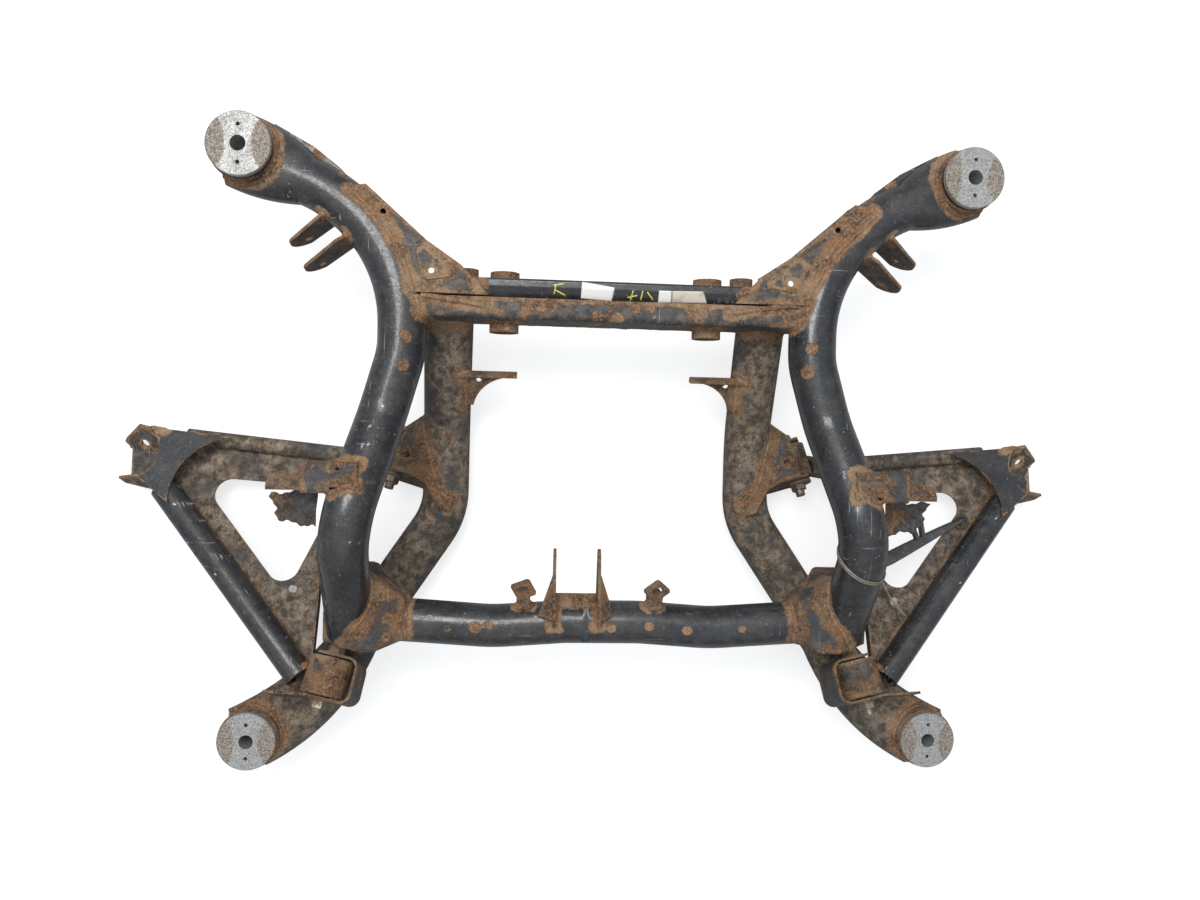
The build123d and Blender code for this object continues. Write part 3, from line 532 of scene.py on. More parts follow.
@dataclass
class Bead:
    """Rippled weld metal along a seam.

    Attributes:
        radius: Half of the bead's width.
        ripple: Spacing of the ripples.
        depth: Share of the radius that a ripple takes.
        corners: Corners of the bead's section.
        step: Spacing of the sections.
        width: Width of the section, as a share of the round one's.
        height: Height of the section, in the same way.
        wander: How much the bead's size wanders, as a share of its radius.
        wander_step: Sections between two places where it wanders.
        taper: Length over which an open end runs out.
        end_share: Share of that length that is cut off, so that no end is a point.
        smoothing: Rounds in which the seam's places are drawn to their neighbours' middle.
        pull: Share of the way that they go in each round.
    """

    radius: float = 0.0032
    ripple: float = 0.0042
    depth: float = 0.16
    corners: int = 8
    step: float = 0.0014
    width: float = 1.15
    height: float = 0.85
    wander: float = 0.14
    wander_step: int = 6
    taper: float = 0.003
    end_share: float = 0.2
    smoothing: int = 3
    pull: float = 0.5

    def surface(self, seam: Seam, seed: int) -> tuple[np.ndarray, np.ndarray]:
        """Points and quads of the bead along one seam.

        Args:
            seam: The run of weld.
            seed: Number that sets the bead's unevenness.

        Returns:
            The points, and the four point indices of each quad.
        """
        points, lean = self.evened(seam)
        count = len(points)
        rng = np.random.default_rng(seed)
        ahead = np.roll(points, -1, axis=0) - np.roll(points, 1, axis=0)
        if not seam.closed:
            ahead[0], ahead[-1] = points[1] - points[0], points[-1] - points[-2]
        ahead /= np.maximum(np.linalg.norm(ahead, axis=1, keepdims=True), 1e-9)
        across = np.cross(ahead, lean)
        across /= np.maximum(np.linalg.norm(across, axis=1, keepdims=True), 1e-9)
        up = np.cross(across, ahead)
        travel = np.arange(count) * self.step
        swell = 1 + self.depth * np.sin(2 * np.pi * travel / self.ripple)
        knots = np.arange(0, count + 2 * self.wander_step, self.wander_step)
        swell += self.wander * np.interp(np.arange(count), knots, rng.normal(size=len(knots)))
        if not seam.closed:
            left = np.minimum(travel, travel[::-1]) + self.end_share * self.taper
            swell *= np.sqrt(np.minimum(1, left / self.taper))
        turn = 2 * np.pi * np.arange(self.corners) / self.corners
        ring = np.cos(turn)[None, :, None] * across[:, None] * self.width
        ring = ring + np.sin(turn)[None, :, None] * up[:, None] * self.height
        rings = points[:, None] + self.radius * swell[:, None, None] * ring
        rings[..., 2] = np.maximum(rings[..., 2], 0.0)
        rows = count if seam.closed else count - 1
        i = np.arange(rows)[:, None]
        j = np.arange(self.corners)[None, :]
        nxt, side = (i + 1) % count, (j + 1) % self.corners
        quads = np.stack(
            [i * self.corners + j, nxt * self.corners + j,
             nxt * self.corners + side, i * self.corners + side], -1
        ).reshape(-1, 4)
        return rings.reshape(-1, 3), quads

    def evened(self, seam: Seam) -> tuple[np.ndarray, np.ndarray]:
        """The seam's places and leans at even spacing, smoothed a little.

        Args:
            seam: The run of weld.

        Returns:
            The places and the leans, one row each.
        """
        points = np.vstack([seam.points, seam.points[:1]]) if seam.closed else seam.points
        lean = np.vstack([seam.lean, seam.lean[:1]]) if seam.closed else seam.lean
        travel = np.concatenate([[0], np.cumsum(np.linalg.norm(np.diff(points, axis=0), axis=1))])
        count = max(4, int(travel[-1] / self.step))
        at = np.linspace(0, travel[-1], count, endpoint=not seam.closed)
        even = np.stack([np.interp(at, travel, points[:, k]) for k in range(3)], 1)
        turned = np.stack([np.interp(at, travel, lean[:, k]) for k in range(3)], 1)
        for values in (even, turned):
            for _ in range(self.smoothing):
                middle = (np.roll(values, 1, axis=0) + np.roll(values, -1, axis=0)) / 2
                if not seam.closed:
                    middle[0], middle[-1] = values[0], values[-1]
                values += self.pull * (middle - values)
        return even, turned


def mesh_object(name: str, points: Sequence, faces: Sequence) -> bpy.types.Object:
    """A smooth mesh object from points and faces.

    Args:
        name: The object's name.
        points: Places of its points.
        faces: Point indices of its faces.

    Returns:
        The linked object.
    """
    mesh = bpy.data.meshes.new(name)
    mesh.from_pydata(np.asarray(points).tolist(), [], [list(map(int, f)) for f in faces])
    mesh.shade_smooth()
    made = bpy.data.objects.new(name, mesh)
    bpy.context.scene.collection.objects.link(made)
    return made


def slab_faces(columns: int, rows: int, turned: bool = False) -> list[tuple[int, ...]]:
    """Faces of a thin slab between an upper and a lower grid of points.

    Args:
        columns: Cells along each row of the grids.
        rows: Rows of cells.
        turned: True where the rows run the other way round.

    Returns:
        Point indices of each face, the upper grid's points first.
    """
    width, size = columns + 1, (columns + 1) * (rows + 1)
    faces = []
    for j in range(rows):
        for i in range(columns):
            k = j * width + i
            quad = (k, k + 1, k + width + 1, k + width)
            faces += [quad, tuple(size + q for q in reversed(quad))]
    rim = [*range(width), *(width * j + columns for j in range(1, rows + 1)),
           *(width * rows + i for i in range(columns - 1, -1, -1)),
           *(width * j for j in range(rows - 1, 0, -1))]
    for here, onward in zip(rim, rim[1:] + rim[:1]):
        faces.append((onward, here, size + here, size + onward))
    return [face[::-1] for face in faces] if turned else faces


def bead_object(name: str, bead: Bead, seams: Sequence[tuple[Seam, int]]) -> bpy.types.Object:
    """One object of the beads along several seams.

    Args:
        name: The object's name.
        bead: The bead's form.
        seams: Each seam with the number that sets its unevenness.

    Returns:
        The linked object.
    """
    points, faces, count = [], [], 0
    for seam, seed in seams:
        ring, quads = bead.surface(seam, seed)
        points.append(ring)
        faces.append(quads + count)
        count += len(ring)
    return mesh_object(name, np.vstack(points), np.vstack(faces))


def write_marks(piece: bpy.types.Object, marks: dict[Mark, np.ndarray]) -> None:
    """Keeps values on a piece's points for its finish; what is left out counts as far away.

    Args:
        piece: The piece.
        marks: Values of its points, by mark.
    """
    for mark in Mark:
        values = marks.get(mark, np.full(len(piece.data.vertices), FAR_AWAY))
        attribute = piece.data.attributes.new(mark.value, "FLOAT", "POINT")
        attribute.data.foreach_set("value", values.astype(np.float32))


# Shader parts


class Tree:
    """A short way to add and join shader nodes."""

    def __init__(self, tree: bpy.types.NodeTree) -> None:
        """Takes hold of a node tree."""
        self.tree = tree

    def node(self, kind: str, values: dict[Any, Any] | None = None, **settings: Any) -> Any:
        """Adds a node.

        Args:
            kind: The node's type without the word ShaderNode.
            values: Values or output sockets for its inputs, by name or index.
            **settings: Properties of the node.

        Returns:
            The node.
        """
        made = self.tree.nodes.new("ShaderNode" + kind)
        for key, value in settings.items():
            setattr(made, key, value)
        for key, value in (values or {}).items():
            self.feed(made.inputs[key], value)
        return made

    def feed(self, socket: Any, value: Any) -> None:
        """Joins an output to a socket, or sets the socket's value.

        Args:
            socket: The input.
            value: An output, a colour or a plain value.
        """
        if isinstance(value, bpy.types.NodeSocket):
            self.tree.links.new(value, socket)
        elif isinstance(value, tuple) and len(value) == 3 and socket.type == "RGBA":
            socket.default_value = (*value, 1.0)
        else:
            socket.default_value = value

    def math(self, operation: str, *values: Any, clamp: bool = False) -> Any:
        """Output of a math node.

        Args:
            operation: Name of the operation.
            *values: Its operands.
            clamp: True to keep 0 to 1.

        Returns:
            The result's socket.
        """
        made = self.node("Math", operation=operation, use_clamp=clamp)
        for socket, value in zip(made.inputs, values):
            self.feed(socket, value)
        return made.outputs[0]

    def noise(self, vector: Any, scale: Any, detail: float = 3.0, rough: float = 0.55) -> Any:
        """Output of a noise texture, about 0 to 1."""
        values = {"Vector": vector, "Scale": scale, "Detail": detail, "Roughness": rough}
        return self.node("TexNoise", values).outputs["Fac"]

    def ramp(self, value: Any, low: Any, high: Any, to_low: float = 0.0, to_high: float = 1.0) -> Any:
        """A smooth step of a value between two limits.

        Args:
            value: The value.
            low: Where the step begins.
            high: Where it ends.
            to_low: Result at and before the beginning.
            to_high: Result at and past the end.

        Returns:
            The result's socket.
        """
        values = {"Value": value, "From Min": low, "From Max": high,
                  "To Min": to_low, "To Max": to_high}
        made = self.node("MapRange", values, interpolation_type="SMOOTHSTEP")
        return made.outputs["Result"]

    def mix(self, share: Any, first: Any, second: Any, blend: str = "MIX") -> Any:
        """A mix of two colours.

        Args:
            share: Share of the second colour.
            first: The first colour.
            second: The second colour.
            blend: How they are mixed.

        Returns:
            The result's socket.
        """
        made = self.node("Mix", data_type="RGBA", blend_type=blend)
        for index, value in ((0, share), (6, first), (7, second)):
            self.feed(made.inputs[index], value)
        return made.outputs[2]

    def blend(self, share: Any, first: Any, second: Any) -> Any:
        """A mix of two numbers.

        Args:
            share: Share of the second number.
            first: The first number.
            second: The second number.

        Returns:
            The result's socket.
        """
        made = self.node("Mix", data_type="FLOAT")
        for index, value in ((0, share), (2, first), (3, second)):
            self.feed(made.inputs[index], value)
        return made.outputs[0]

    def emboss(self, shader: Any, height: Any, distance: float, strength: float = 1.0) -> None:
        """Bends a shader's normal by a height.

        Args:
            shader: The shader.
            height: Output with the height, about 0 to 1.
            distance: Depth of the full height, in metres.
            strength: Share of the bend that is shown.
        """
        bump = self.node("Bump", {"Height": height, "Distance": distance, "Strength": strength})
        self.feed(shader.inputs["Normal"], bump.outputs[0])

    def group(self, effect: "Effect", **values: Any) -> Any:
        """Places an effect's group, with values by input name.

        Args:
            effect: The effect.
            **values: Its inputs, with low lines for spaces.

        Returns:
            The group's outputs.
        """
        made = self.tree.nodes.new("ShaderNodeGroup")
        made.node_tree = effect.tree()
        for key, value in values.items():
            self.feed(made.inputs[key.replace("_", " ").capitalize()], value)
        return made.outputs


@dataclass(frozen=True)
class Effect:
    """A surface effect that several finishes share, as a node group.

    Attributes:
        name: The group's name.
        inputs: Name, socket type and default of each input.
        outputs: Name and socket type of each output.
    """

    name: str
    inputs: tuple[tuple[str, str, Any], ...]
    outputs: tuple[tuple[str, str], ...]

    def tree(self) -> bpy.types.NodeTree:
        """The effect's node group, built the first time that it is asked for.

        Returns:
            The group.
        """
        found = bpy.data.node_groups.get(self.name)
        if found:
            return found
        group = bpy.data.node_groups.new(self.name, "ShaderNodeTree")
        for label, kind, default in self.inputs:
            socket = group.interface.new_socket(name=label, in_out="INPUT", socket_type=kind)
            if default is not None:
                socket.default_value = default
        for label, kind in self.outputs:
            group.interface.new_socket(name=label, in_out="OUTPUT", socket_type=kind)
        start = group.nodes.new("NodeGroupInput")
        end = group.nodes.new("NodeGroupOutput")
        results = self.build(Tree(group), {s.name: s for s in start.outputs if s.name})
        for label, value in results.items():
            group.links.new(value, end.inputs[label])
        return group

    def build(self, tree: Tree, given: dict[str, Any]) -> dict[str, Any]:
        """Adds the effect's nodes and gives its outputs by name."""
        raise NotImplementedError


FLOAT, VECTOR, COLOUR = "NodeSocketFloat", "NodeSocketVector", "NodeSocketColor"


class CreepingRust(Effect):
    """Rust that spreads with a broken front from a weld, an edge or a spot."""

    def build(self, tree: Tree, given: dict[str, Any]) -> dict[str, Any]:
        """Compares the distance with a reach that noise makes uneven.

        Args:
            tree: The group's tree.
            given: Outputs of the group's inputs, by name.

        Returns:
            Value of each output of the group, by name.
        """
        coarse = tree.noise(given["Vector"], 28.0, 4.0, 0.6)
        fine = tree.noise(given["Vector"], 190.0, 3.0, 0.65)
        uneven = tree.math("ADD", tree.math("MULTIPLY", coarse, 1.5), tree.math("MULTIPLY", fine, 0.7))
        share = tree.math("MULTIPLY", tree.math("SUBTRACT", uneven, 1.1), given["Breakup"])
        reach = tree.math("MULTIPLY", given["Reach"], tree.math("ADD", share, 1.0))
        left = tree.math("DIVIDE", tree.math("SUBTRACT", reach, given["Distance"]), given["Reach"])
        return {"Mask": tree.ramp(left, -0.04, 0.34)}


class RustColour(Effect):
    """Colour, height and roughness of layered rust."""

    def build(self, tree: Tree, given: dict[str, Any]) -> dict[str, Any]:
        """Mixes dark, orange and pale rust by noises of three sizes.

        Args:
            tree: The group's tree.
            given: Outputs of the group's inputs, by name.

        Returns:
            Value of each output of the group, by name.
        """
        vector = given["Vector"]
        broad = tree.ramp(tree.noise(vector, 38.0, 7.0, 0.68), 0.4, 0.6)
        grain = tree.ramp(tree.noise(vector, 240.0, 5.0, 0.75), 0.42, 0.6)
        pale = tree.ramp(tree.noise(vector, 420.0, 4.0, 0.7), 0.52, 0.64)
        tan = tree.ramp(tree.noise(vector, 17.0, 8.0, 0.7), 0.46, 0.62)
        colour = tree.mix(broad, (0.06, 0.032, 0.021), (0.25, 0.124, 0.058))
        colour = tree.mix(tree.math("MULTIPLY", grain, 0.6), colour, (0.41, 0.235, 0.122))
        colour = tree.mix(tree.math("MULTIPLY", tan, 0.5), colour, (0.42, 0.3, 0.185))
        colour = tree.mix(tree.math("MULTIPLY", pale, 0.5), colour, (0.56, 0.42, 0.29))
        height = tree.math("ADD", grain, tree.math("MULTIPLY", pale, 0.5))
        rough = tree.blend(grain, 0.95, 0.78)
        return {"Colour": colour, "Height": height, "Roughness": rough}


class RoadDirt(Effect):
    """Dried mud and dust, thickest on what faces up and in hollows."""

    def build(self, tree: Tree, given: dict[str, Any]) -> dict[str, Any]:
        """Adds cloudy dust to small splashes.

        Args:
            tree: The group's tree.
            given: Outputs of the group's inputs, by name.

        Returns:
            Value of each output of the group, by name.
        """
        vector = given["Vector"]
        normal = tree.node("NewGeometry").outputs["Normal"]
        up = tree.node("SeparateXYZ", {"Vector": normal}).outputs["Z"]
        facing = tree.ramp(up, -0.2, 0.9, 0.35, 1.0)
        cloud = tree.ramp(tree.noise(vector, 15.0, 9.0, 0.7), 0.36, 0.56)
        speck = tree.ramp(tree.noise(vector, 260.0, 4.0, 0.75), 0.5, 0.6)
        hollow = tree.ramp(given["Hollow"], 0.02, 0.0, 0.0, 0.7)
        body = tree.math("MAXIMUM", tree.math("MULTIPLY", cloud, facing), hollow)
        mask = tree.math("MULTIPLY", tree.math("ADD", body, tree.math("MULTIPLY", speck, 0.5)),
                        given["Amount"], clamp=True)
        tint = tree.ramp(tree.noise(vector, 75.0, 8.0, 0.72), 0.38, 0.64)
        colour = tree.mix(tint, (0.07, 0.052, 0.038), (0.29, 0.23, 0.17))
        rusty = tree.ramp(tree.noise(vector, 31.0, 8.0, 0.7), 0.55, 0.66, 0.0, 0.6)
        colour = tree.mix(rusty, colour, (0.2, 0.095, 0.045))
        return {"Mask": mask, "Colour": colour, "Height": speck}


class Scratches(Effect):
    """Fine pale scratches in two directions and small chips."""

    def build(self, tree: Tree, given: dict[str, Any]) -> dict[str, Any]:
        """Stretches noise along two slanting directions.

        Args:
            tree: The group's tree.
            given: Outputs of the group's inputs, by name.

        Returns:
            Value of each output of the group, by name.
        """
        lines = []
        for turn, stretch in ((0.7, (9.0, 420.0, 60.0)), (-0.5, (330.0, 12.0, 70.0))):
            mapped = tree.node("Mapping", {"Vector": given["Vector"], "Rotation": (0.2, 0.3, turn),
                                           "Scale": stretch})
            lines.append(tree.ramp(tree.noise(mapped.outputs[0], 1.0, 2.0, 0.5), 0.68, 0.74))
        area = tree.ramp(tree.noise(given["Vector"], 11.0, 3.0, 0.5), 0.5, 0.62)
        chips = tree.ramp(tree.noise(given["Vector"], 240.0, 2.0, 0.5), 0.715, 0.74)
        lined = tree.math("MULTIPLY", tree.math("MAXIMUM", *lines), area)
        mask = tree.math("MULTIPLY", tree.math("MAXIMUM", lined, chips), given["Amount"], clamp=True)
        return {"Mask": mask}


SCRATCHED = (0.33, 0.33, 0.32)
BARE_METAL = (0.42, 0.4, 0.37)
CREEPING_RUST = CreepingRust(
    "creeping_rust",
    (("Vector", VECTOR, None), ("Distance", FLOAT, 1.0), ("Reach", FLOAT, 0.01), ("Breakup", FLOAT, 1.0)),
    (("Mask", FLOAT),),
)
RUST_COLOUR = RustColour(
    "rust_colour", (("Vector", VECTOR, None),),
    (("Colour", COLOUR), ("Height", FLOAT), ("Roughness", FLOAT)),
)
ROAD_DIRT = RoadDirt(
    "road_dirt", (("Vector", VECTOR, None), ("Amount", FLOAT, 0.5), ("Hollow", FLOAT, 1.0)),
    (("Mask", FLOAT), ("Colour", COLOUR), ("Height", FLOAT)),
)
SCRATCHES = Scratches(
    "scratches", (("Vector", VECTOR, None), ("Amount", FLOAT, 0.5)), (("Mask", FLOAT),)
)


# Finishes


@dataclass(frozen=True)
class Finish:
    """A named finish.

    Attributes:
        name: The material's name.
    """

    name: str

    def material(self) -> bpy.types.Material:
        """The finish's material, built the first time that it is asked for.

        Returns:
            The material.
        """
        found = bpy.data.materials.get(self.name)
        if found:
            return found
        material = bpy.data.materials.new(self.name)
        material.use_nodes = True
        material.node_tree.nodes.clear()
        tree = Tree(material.node_tree)
        shader = tree.node("BsdfPrincipled")
        output = tree.node("OutputMaterial")
        tree.feed(output.inputs["Surface"], shader.outputs[0])
        self.build(tree, shader, tree.node("TexCoord").outputs["Object"])
        return material

    def build(self, tree: Tree, shader: Any, place: Any) -> None:
        """Adds the finish's nodes.

        Args:
            tree: The material's nodes.
            shader: Its Principled shader.
            place: Output with the surface's own coordinates.
        """
        raise NotImplementedError

    def put_on(self, piece: bpy.types.Object) -> None:
        """Gives a piece this finish alone."""
        piece.data.materials.clear()
        piece.data.materials.append(self.material())


def read_mark(tree: Tree, mark: Mark) -> Any:
    """Output with one of the distances that a skin's points carry."""
    return tree.node("Attribute", attribute_name=mark.value).outputs["Fac"]


@dataclass(frozen=True)
class AgedPaint(Finish):
    """Paint over steel, broken by rust and covered by road dirt.

    Attributes:
        paint: Colour of the sound paint.
        gloss: Roughness of the sound paint.
        dust_and_sheen: Colour of the thin dust on the paint; its bluish tint is a painted sheen of
            reflected sky.
        dust_and_sheen_share: Share of the paint that this dust and painted sheen greys.
        weld_reach: How far rust creeps from a weld, in metres.
        edge_reach: How far rust creeps from an edge, in metres.
        patchiness: Share of rust away from welds and edges, 0 to 1.
        dirt: Amount of road dirt, 0 to 1.
        scratches: Amount of scratches, 0 to 1.
        relief: Depth of the rust's bumps, in metres.
        coat: Weight of the shiny top coat where the paint is sound.
    """

    paint: Colour = (0.007, 0.0085, 0.0115)
    gloss: float = 0.2
    # The bluish default tint is a painted sheen of reflected sky mixed with grey dust.
    dust_and_sheen: Colour = (0.1, 0.125, 0.16)
    dust_and_sheen_share: float = 0.25
    weld_reach: float = 0.012
    edge_reach: float = 0.002
    patchiness: float = 0.2
    dirt: float = 0.2
    scratches: float = 0.4
    relief: float = 0.0006
    coat: float = 0.0

    def build(self, tree: Tree, shader: Any, place: Any) -> None:
        """Lays dust with a painted bluish sheen, dirt, scratches and rust over the paint, in that order.

        Args:
            tree: The material's tree.
            shader: Its Principled shader.
            place: The place on the piece, as a vector.
        """
        rust = tree.group(RUST_COLOUR, vector=place)
        dirt = tree.group(ROAD_DIRT, vector=place, amount=self.dirt, hollow=read_mark(tree, Mark.HOLLOW))
        scratch = tree.group(SCRATCHES, vector=place, amount=self.scratches)["Mask"]
        fronts = [
            tree.group(CREEPING_RUST, vector=place, distance=read_mark(tree, mark), reach=reach,
                       breakup=breakup)["Mask"]
            for mark, reach, breakup in (
                (Mark.WELD, self.weld_reach, 1.0),
                (Mark.EDGE, self.edge_reach, 2.2),
                (Mark.SPOT, 0.004, 0.9),
            )
        ]
        patch_noise = tree.noise(place, 22.0, 8.0, 0.68)
        limit = 0.78 - 0.42 * self.patchiness
        patches = tree.ramp(patch_noise, limit, limit + 0.05)
        freckle_noise = tree.noise(place, 150.0, 5.0, 0.7)
        freckle_limit = 0.74 - 0.2 * self.patchiness
        freckles = tree.ramp(freckle_noise, freckle_limit, freckle_limit + 0.04)
        rusty = patches
        for mask in (*fronts, freckles):
            rusty = tree.math("MAXIMUM", rusty, mask)
        # Cloudy patches of dust colour over the paint; their bluish tint is a painted sheen.
        cloud = tree.ramp(tree.noise(place, 9.0, 5.0, 0.6), 0.35, 0.7, 0.25, 1.0)
        dust_and_sheen = tree.math("MULTIPLY", cloud, self.dust_and_sheen_share)
        colour = tree.mix(dust_and_sheen, self.paint, self.dust_and_sheen)
        colour = tree.mix(dirt["Mask"], colour, dirt["Colour"])
        colour = tree.mix(scratch, colour, SCRATCHED)
        bare = tree.group(CREEPING_RUST, vector=place, distance=read_mark(tree, Mark.CHIP), reach=0.0015,
                          breakup=0.8)["Mask"]
        colour = tree.mix(rusty, colour, rust["Colour"])
        colour = tree.mix(bare, colour, BARE_METAL)
        tree.feed(shader.inputs["Base Color"], colour)
        rough = tree.blend(dust_and_sheen, self.gloss, 0.6)
        rough = tree.blend(dirt["Mask"], rough, 0.92)
        tree.feed(shader.inputs["Roughness"], tree.blend(rusty, rough, rust["Roughness"]))
        covered = tree.math("MAXIMUM", rusty, dirt["Mask"], clamp=True)
        tree.feed(shader.inputs["Coat Weight"], tree.blend(covered, self.coat, 0.0))
        shader.inputs["Coat Roughness"].default_value = COAT_ROUGHNESS
        orange = tree.noise(place, 55.0, 3.0, 0.5)
        height = tree.math("MULTIPLY", tree.math("ADD", rust["Height"], 0.6), rusty)
        height = tree.math("ADD", height, tree.math("MULTIPLY", dirt["Height"], dirt["Mask"]))
        height = tree.math("ADD", height, tree.math("MULTIPLY", orange, 0.35))
        tree.emboss(shader, height, self.relief)


@dataclass(frozen=True)
class BushFace(Finish):
    """Machined aluminium, worn bright in a band and stained at both sides.

    Attributes:
        metal: Colour of the clean metal.
        stain: Colour of the stain at the sides.
        offset: Distance of the stains' circles from the bush's middle, in metres.
        radius: Radius of those circles, in metres.
        strength: Share of the metal that a stain hides.
    """

    strength: float = 0.72
    metal: Colour = (0.3, 0.3, 0.295)
    stain: Colour = (0.1, 0.067, 0.043)
    offset: float = 0.07
    radius: float = 0.049

    def build(self, tree: Tree, shader: Any, place: Any) -> None:
        """Mixes bright metal, pits and the brown stain.

        Args:
            tree: The material's tree.
            shader: Its Principled shader.
            place: The place on the piece, as a vector.
        """
        grain = tree.noise(place, 420.0, 4.0, 0.7)
        worn = tree.ramp(tree.noise(place, 75.0, 6.0, 0.7), 0.42, 0.66)
        pits = tree.ramp(tree.noise(place, 700.0, 2.0, 0.5), 0.58, 0.66)
        across = tree.math("SUBTRACT", tree.math("ABSOLUTE", read_mark(tree, Mark.ACROSS)), self.offset)
        squares = (tree.math("POWER", side, 2.0) for side in (across, read_mark(tree, Mark.ALONG)))
        away = tree.math("SUBTRACT", tree.math("SQRT", tree.math("ADD", *squares)), self.radius)
        stained = tree.group(CREEPING_RUST, vector=place, distance=away, reach=0.005, breakup=1.4)["Mask"]
        stained = tree.math("MAXIMUM", stained, tree.math("MULTIPLY", worn, 0.4))
        stained = tree.math("MULTIPLY", stained, self.strength)
        brown = tree.mix(tree.ramp(grain, 0.4, 0.6), self.stain, (0.36, 0.29, 0.21))
        colour = tree.mix(tree.ramp(grain, 0.35, 0.65), self.metal, (0.5, 0.5, 0.49))
        colour = tree.mix(stained, colour, brown)
        colour = tree.mix(tree.math("MULTIPLY", pits, 0.65), colour, (0.06, 0.052, 0.045))
        tree.feed(shader.inputs["Base Color"], colour)
        tree.feed(shader.inputs["Metallic"], tree.blend(stained, 0.6, 0.0))
        tree.feed(shader.inputs["Roughness"], tree.blend(stained, 0.45, 0.9))
        tree.emboss(shader, tree.math("SUBTRACT", grain, pits), 0.0004, 0.8)


@dataclass(frozen=True)
class DustyRubber(Finish):
    """Black rubber with pale dust in its surface.

    Attributes:
        rubber: Colour of the clean rubber.
    """

    rubber: Colour = (0.018, 0.018, 0.018)

    def build(self, tree: Tree, shader: Any, place: Any) -> None:
        """Lays dirt on rubber with a fine skin.

        Args:
            tree: The material's tree.
            shader: Its Principled shader.
            place: The place on the piece, as a vector.
        """
        dirt = tree.group(ROAD_DIRT, vector=place, amount=0.45, hollow=read_mark(tree, Mark.HOLLOW))
        grain = tree.noise(place, 500.0, 3.0, 0.6)
        tree.feed(shader.inputs["Base Color"], tree.mix(dirt["Mask"], self.rubber, dirt["Colour"]))
        tree.feed(shader.inputs["Roughness"], tree.ramp(grain, 0.2, 0.8, 0.7, 0.95))
        tree.emboss(shader, grain, 0.0003, 0.7)


@dataclass(frozen=True)
class WornSteel(Finish):
    """Bare or plated steel with rust bloom.

    Attributes:
        steel: Colour of the metal.
        bloom: Share that rust covers, 0 to 1.
        rough: Roughness of the metal.
    """

    steel: Colour = (0.3, 0.27, 0.23)
    bloom: float = 0.5
    rough: float = 0.45

    def build(self, tree: Tree, shader: Any, place: Any) -> None:
        """Breaks the metal up with rust.

        Args:
            tree: The material's tree.
            shader: Its Principled shader.
            place: The place on the piece, as a vector.
        """
        rust = tree.group(RUST_COLOUR, vector=place)
        limit = 0.72 - 0.4 * self.bloom
        mask = tree.ramp(tree.noise(place, 60.0, 7.0, 0.7), limit, limit + 0.12)
        edge = tree.group(CREEPING_RUST, vector=place, distance=read_mark(tree, Mark.EDGE),
                          reach=0.0015, breakup=1.5)["Mask"]
        mask = tree.math("MAXIMUM", mask, tree.math("MULTIPLY", edge, self.bloom))
        tone = tree.noise(place, 130.0, 4.0, 0.6)
        colour = tree.mix(tone, self.steel, tuple(0.45 * c for c in self.steel))
        tree.feed(shader.inputs["Base Color"], tree.mix(mask, colour, rust["Colour"]))
        tree.feed(shader.inputs["Metallic"], tree.blend(mask, 0.8, 0.0))
        tree.feed(shader.inputs["Roughness"], tree.blend(mask, self.rough, rust["Roughness"]))
        tree.emboss(shader, tree.math("MULTIPLY", rust["Height"], mask), 0.0006)


@dataclass(frozen=True)
class Paper(Finish):
    """A stained paper label or a thin coat of hand paint.

    Attributes:
        colour: Colour of the clean face.
        stain: Colour of its stains.
        stained: Share that is stained, 0 to 1.
    """

    colour: Colour = (0.78, 0.77, 0.74)
    stain: Colour = (0.4, 0.33, 0.25)
    stained: float = 0.3

    def build(self, tree: Tree, shader: Any, place: Any) -> None:
        """Mixes clean and stained paper.

        Args:
            tree: The material's tree.
            shader: Its Principled shader.
            place: The place on the piece, as a vector.
        """
        broad = tree.noise(place, 45.0, 5.0, 0.65)
        limit = 0.75 - 0.5 * self.stained
        mask = tree.ramp(broad, limit, limit + 0.2)
        fibre = tree.noise(place, 700.0, 3.0, 0.6)
        colour = tree.mix(mask, self.colour, self.stain)
        colour = tree.mix(tree.ramp(fibre, 0.62, 0.7, 0.0, 0.4), colour, (0.12, 0.1, 0.08))
        tree.feed(shader.inputs["Base Color"], colour)
        tree.feed(shader.inputs["Roughness"], tree.ramp(fibre, 0.2, 0.8, 0.6, 0.85))
        tree.emboss(shader, fibre, 0.0002, 0.6)


BLACK_PAINT = AgedPaint("black_paint_worn", dust_and_sheen_share=0.12, weld_reach=0.011, patchiness=0.2,
                        dirt=0.12, scratches=0.7, coat=0.24)
SCUFFED_PAINT = AgedPaint("scuffed_paint", gloss=0.4, dust_and_sheen_share=0.2, weld_reach=0.013, edge_reach=0.006,
                          patchiness=0.46, dirt=0.4, scratches=0.9)
GRIMY_PAINT = AgedPaint("grimy_paint_worn", gloss=0.5, dust_and_sheen=(0.13, 0.12, 0.105), dust_and_sheen_share=0.5,
                        weld_reach=0.014, edge_reach=0.003, patchiness=0.36, dirt=1.0, scratches=0.25)
ARM_SHEET = AgedPaint("arm_sheet_worn", gloss=0.55, dust_and_sheen=(0.14, 0.125, 0.105), dust_and_sheen_share=0.4,
                      weld_reach=0.01, edge_reach=0.0015, patchiness=0.26, dirt=1.0, scratches=0.35)
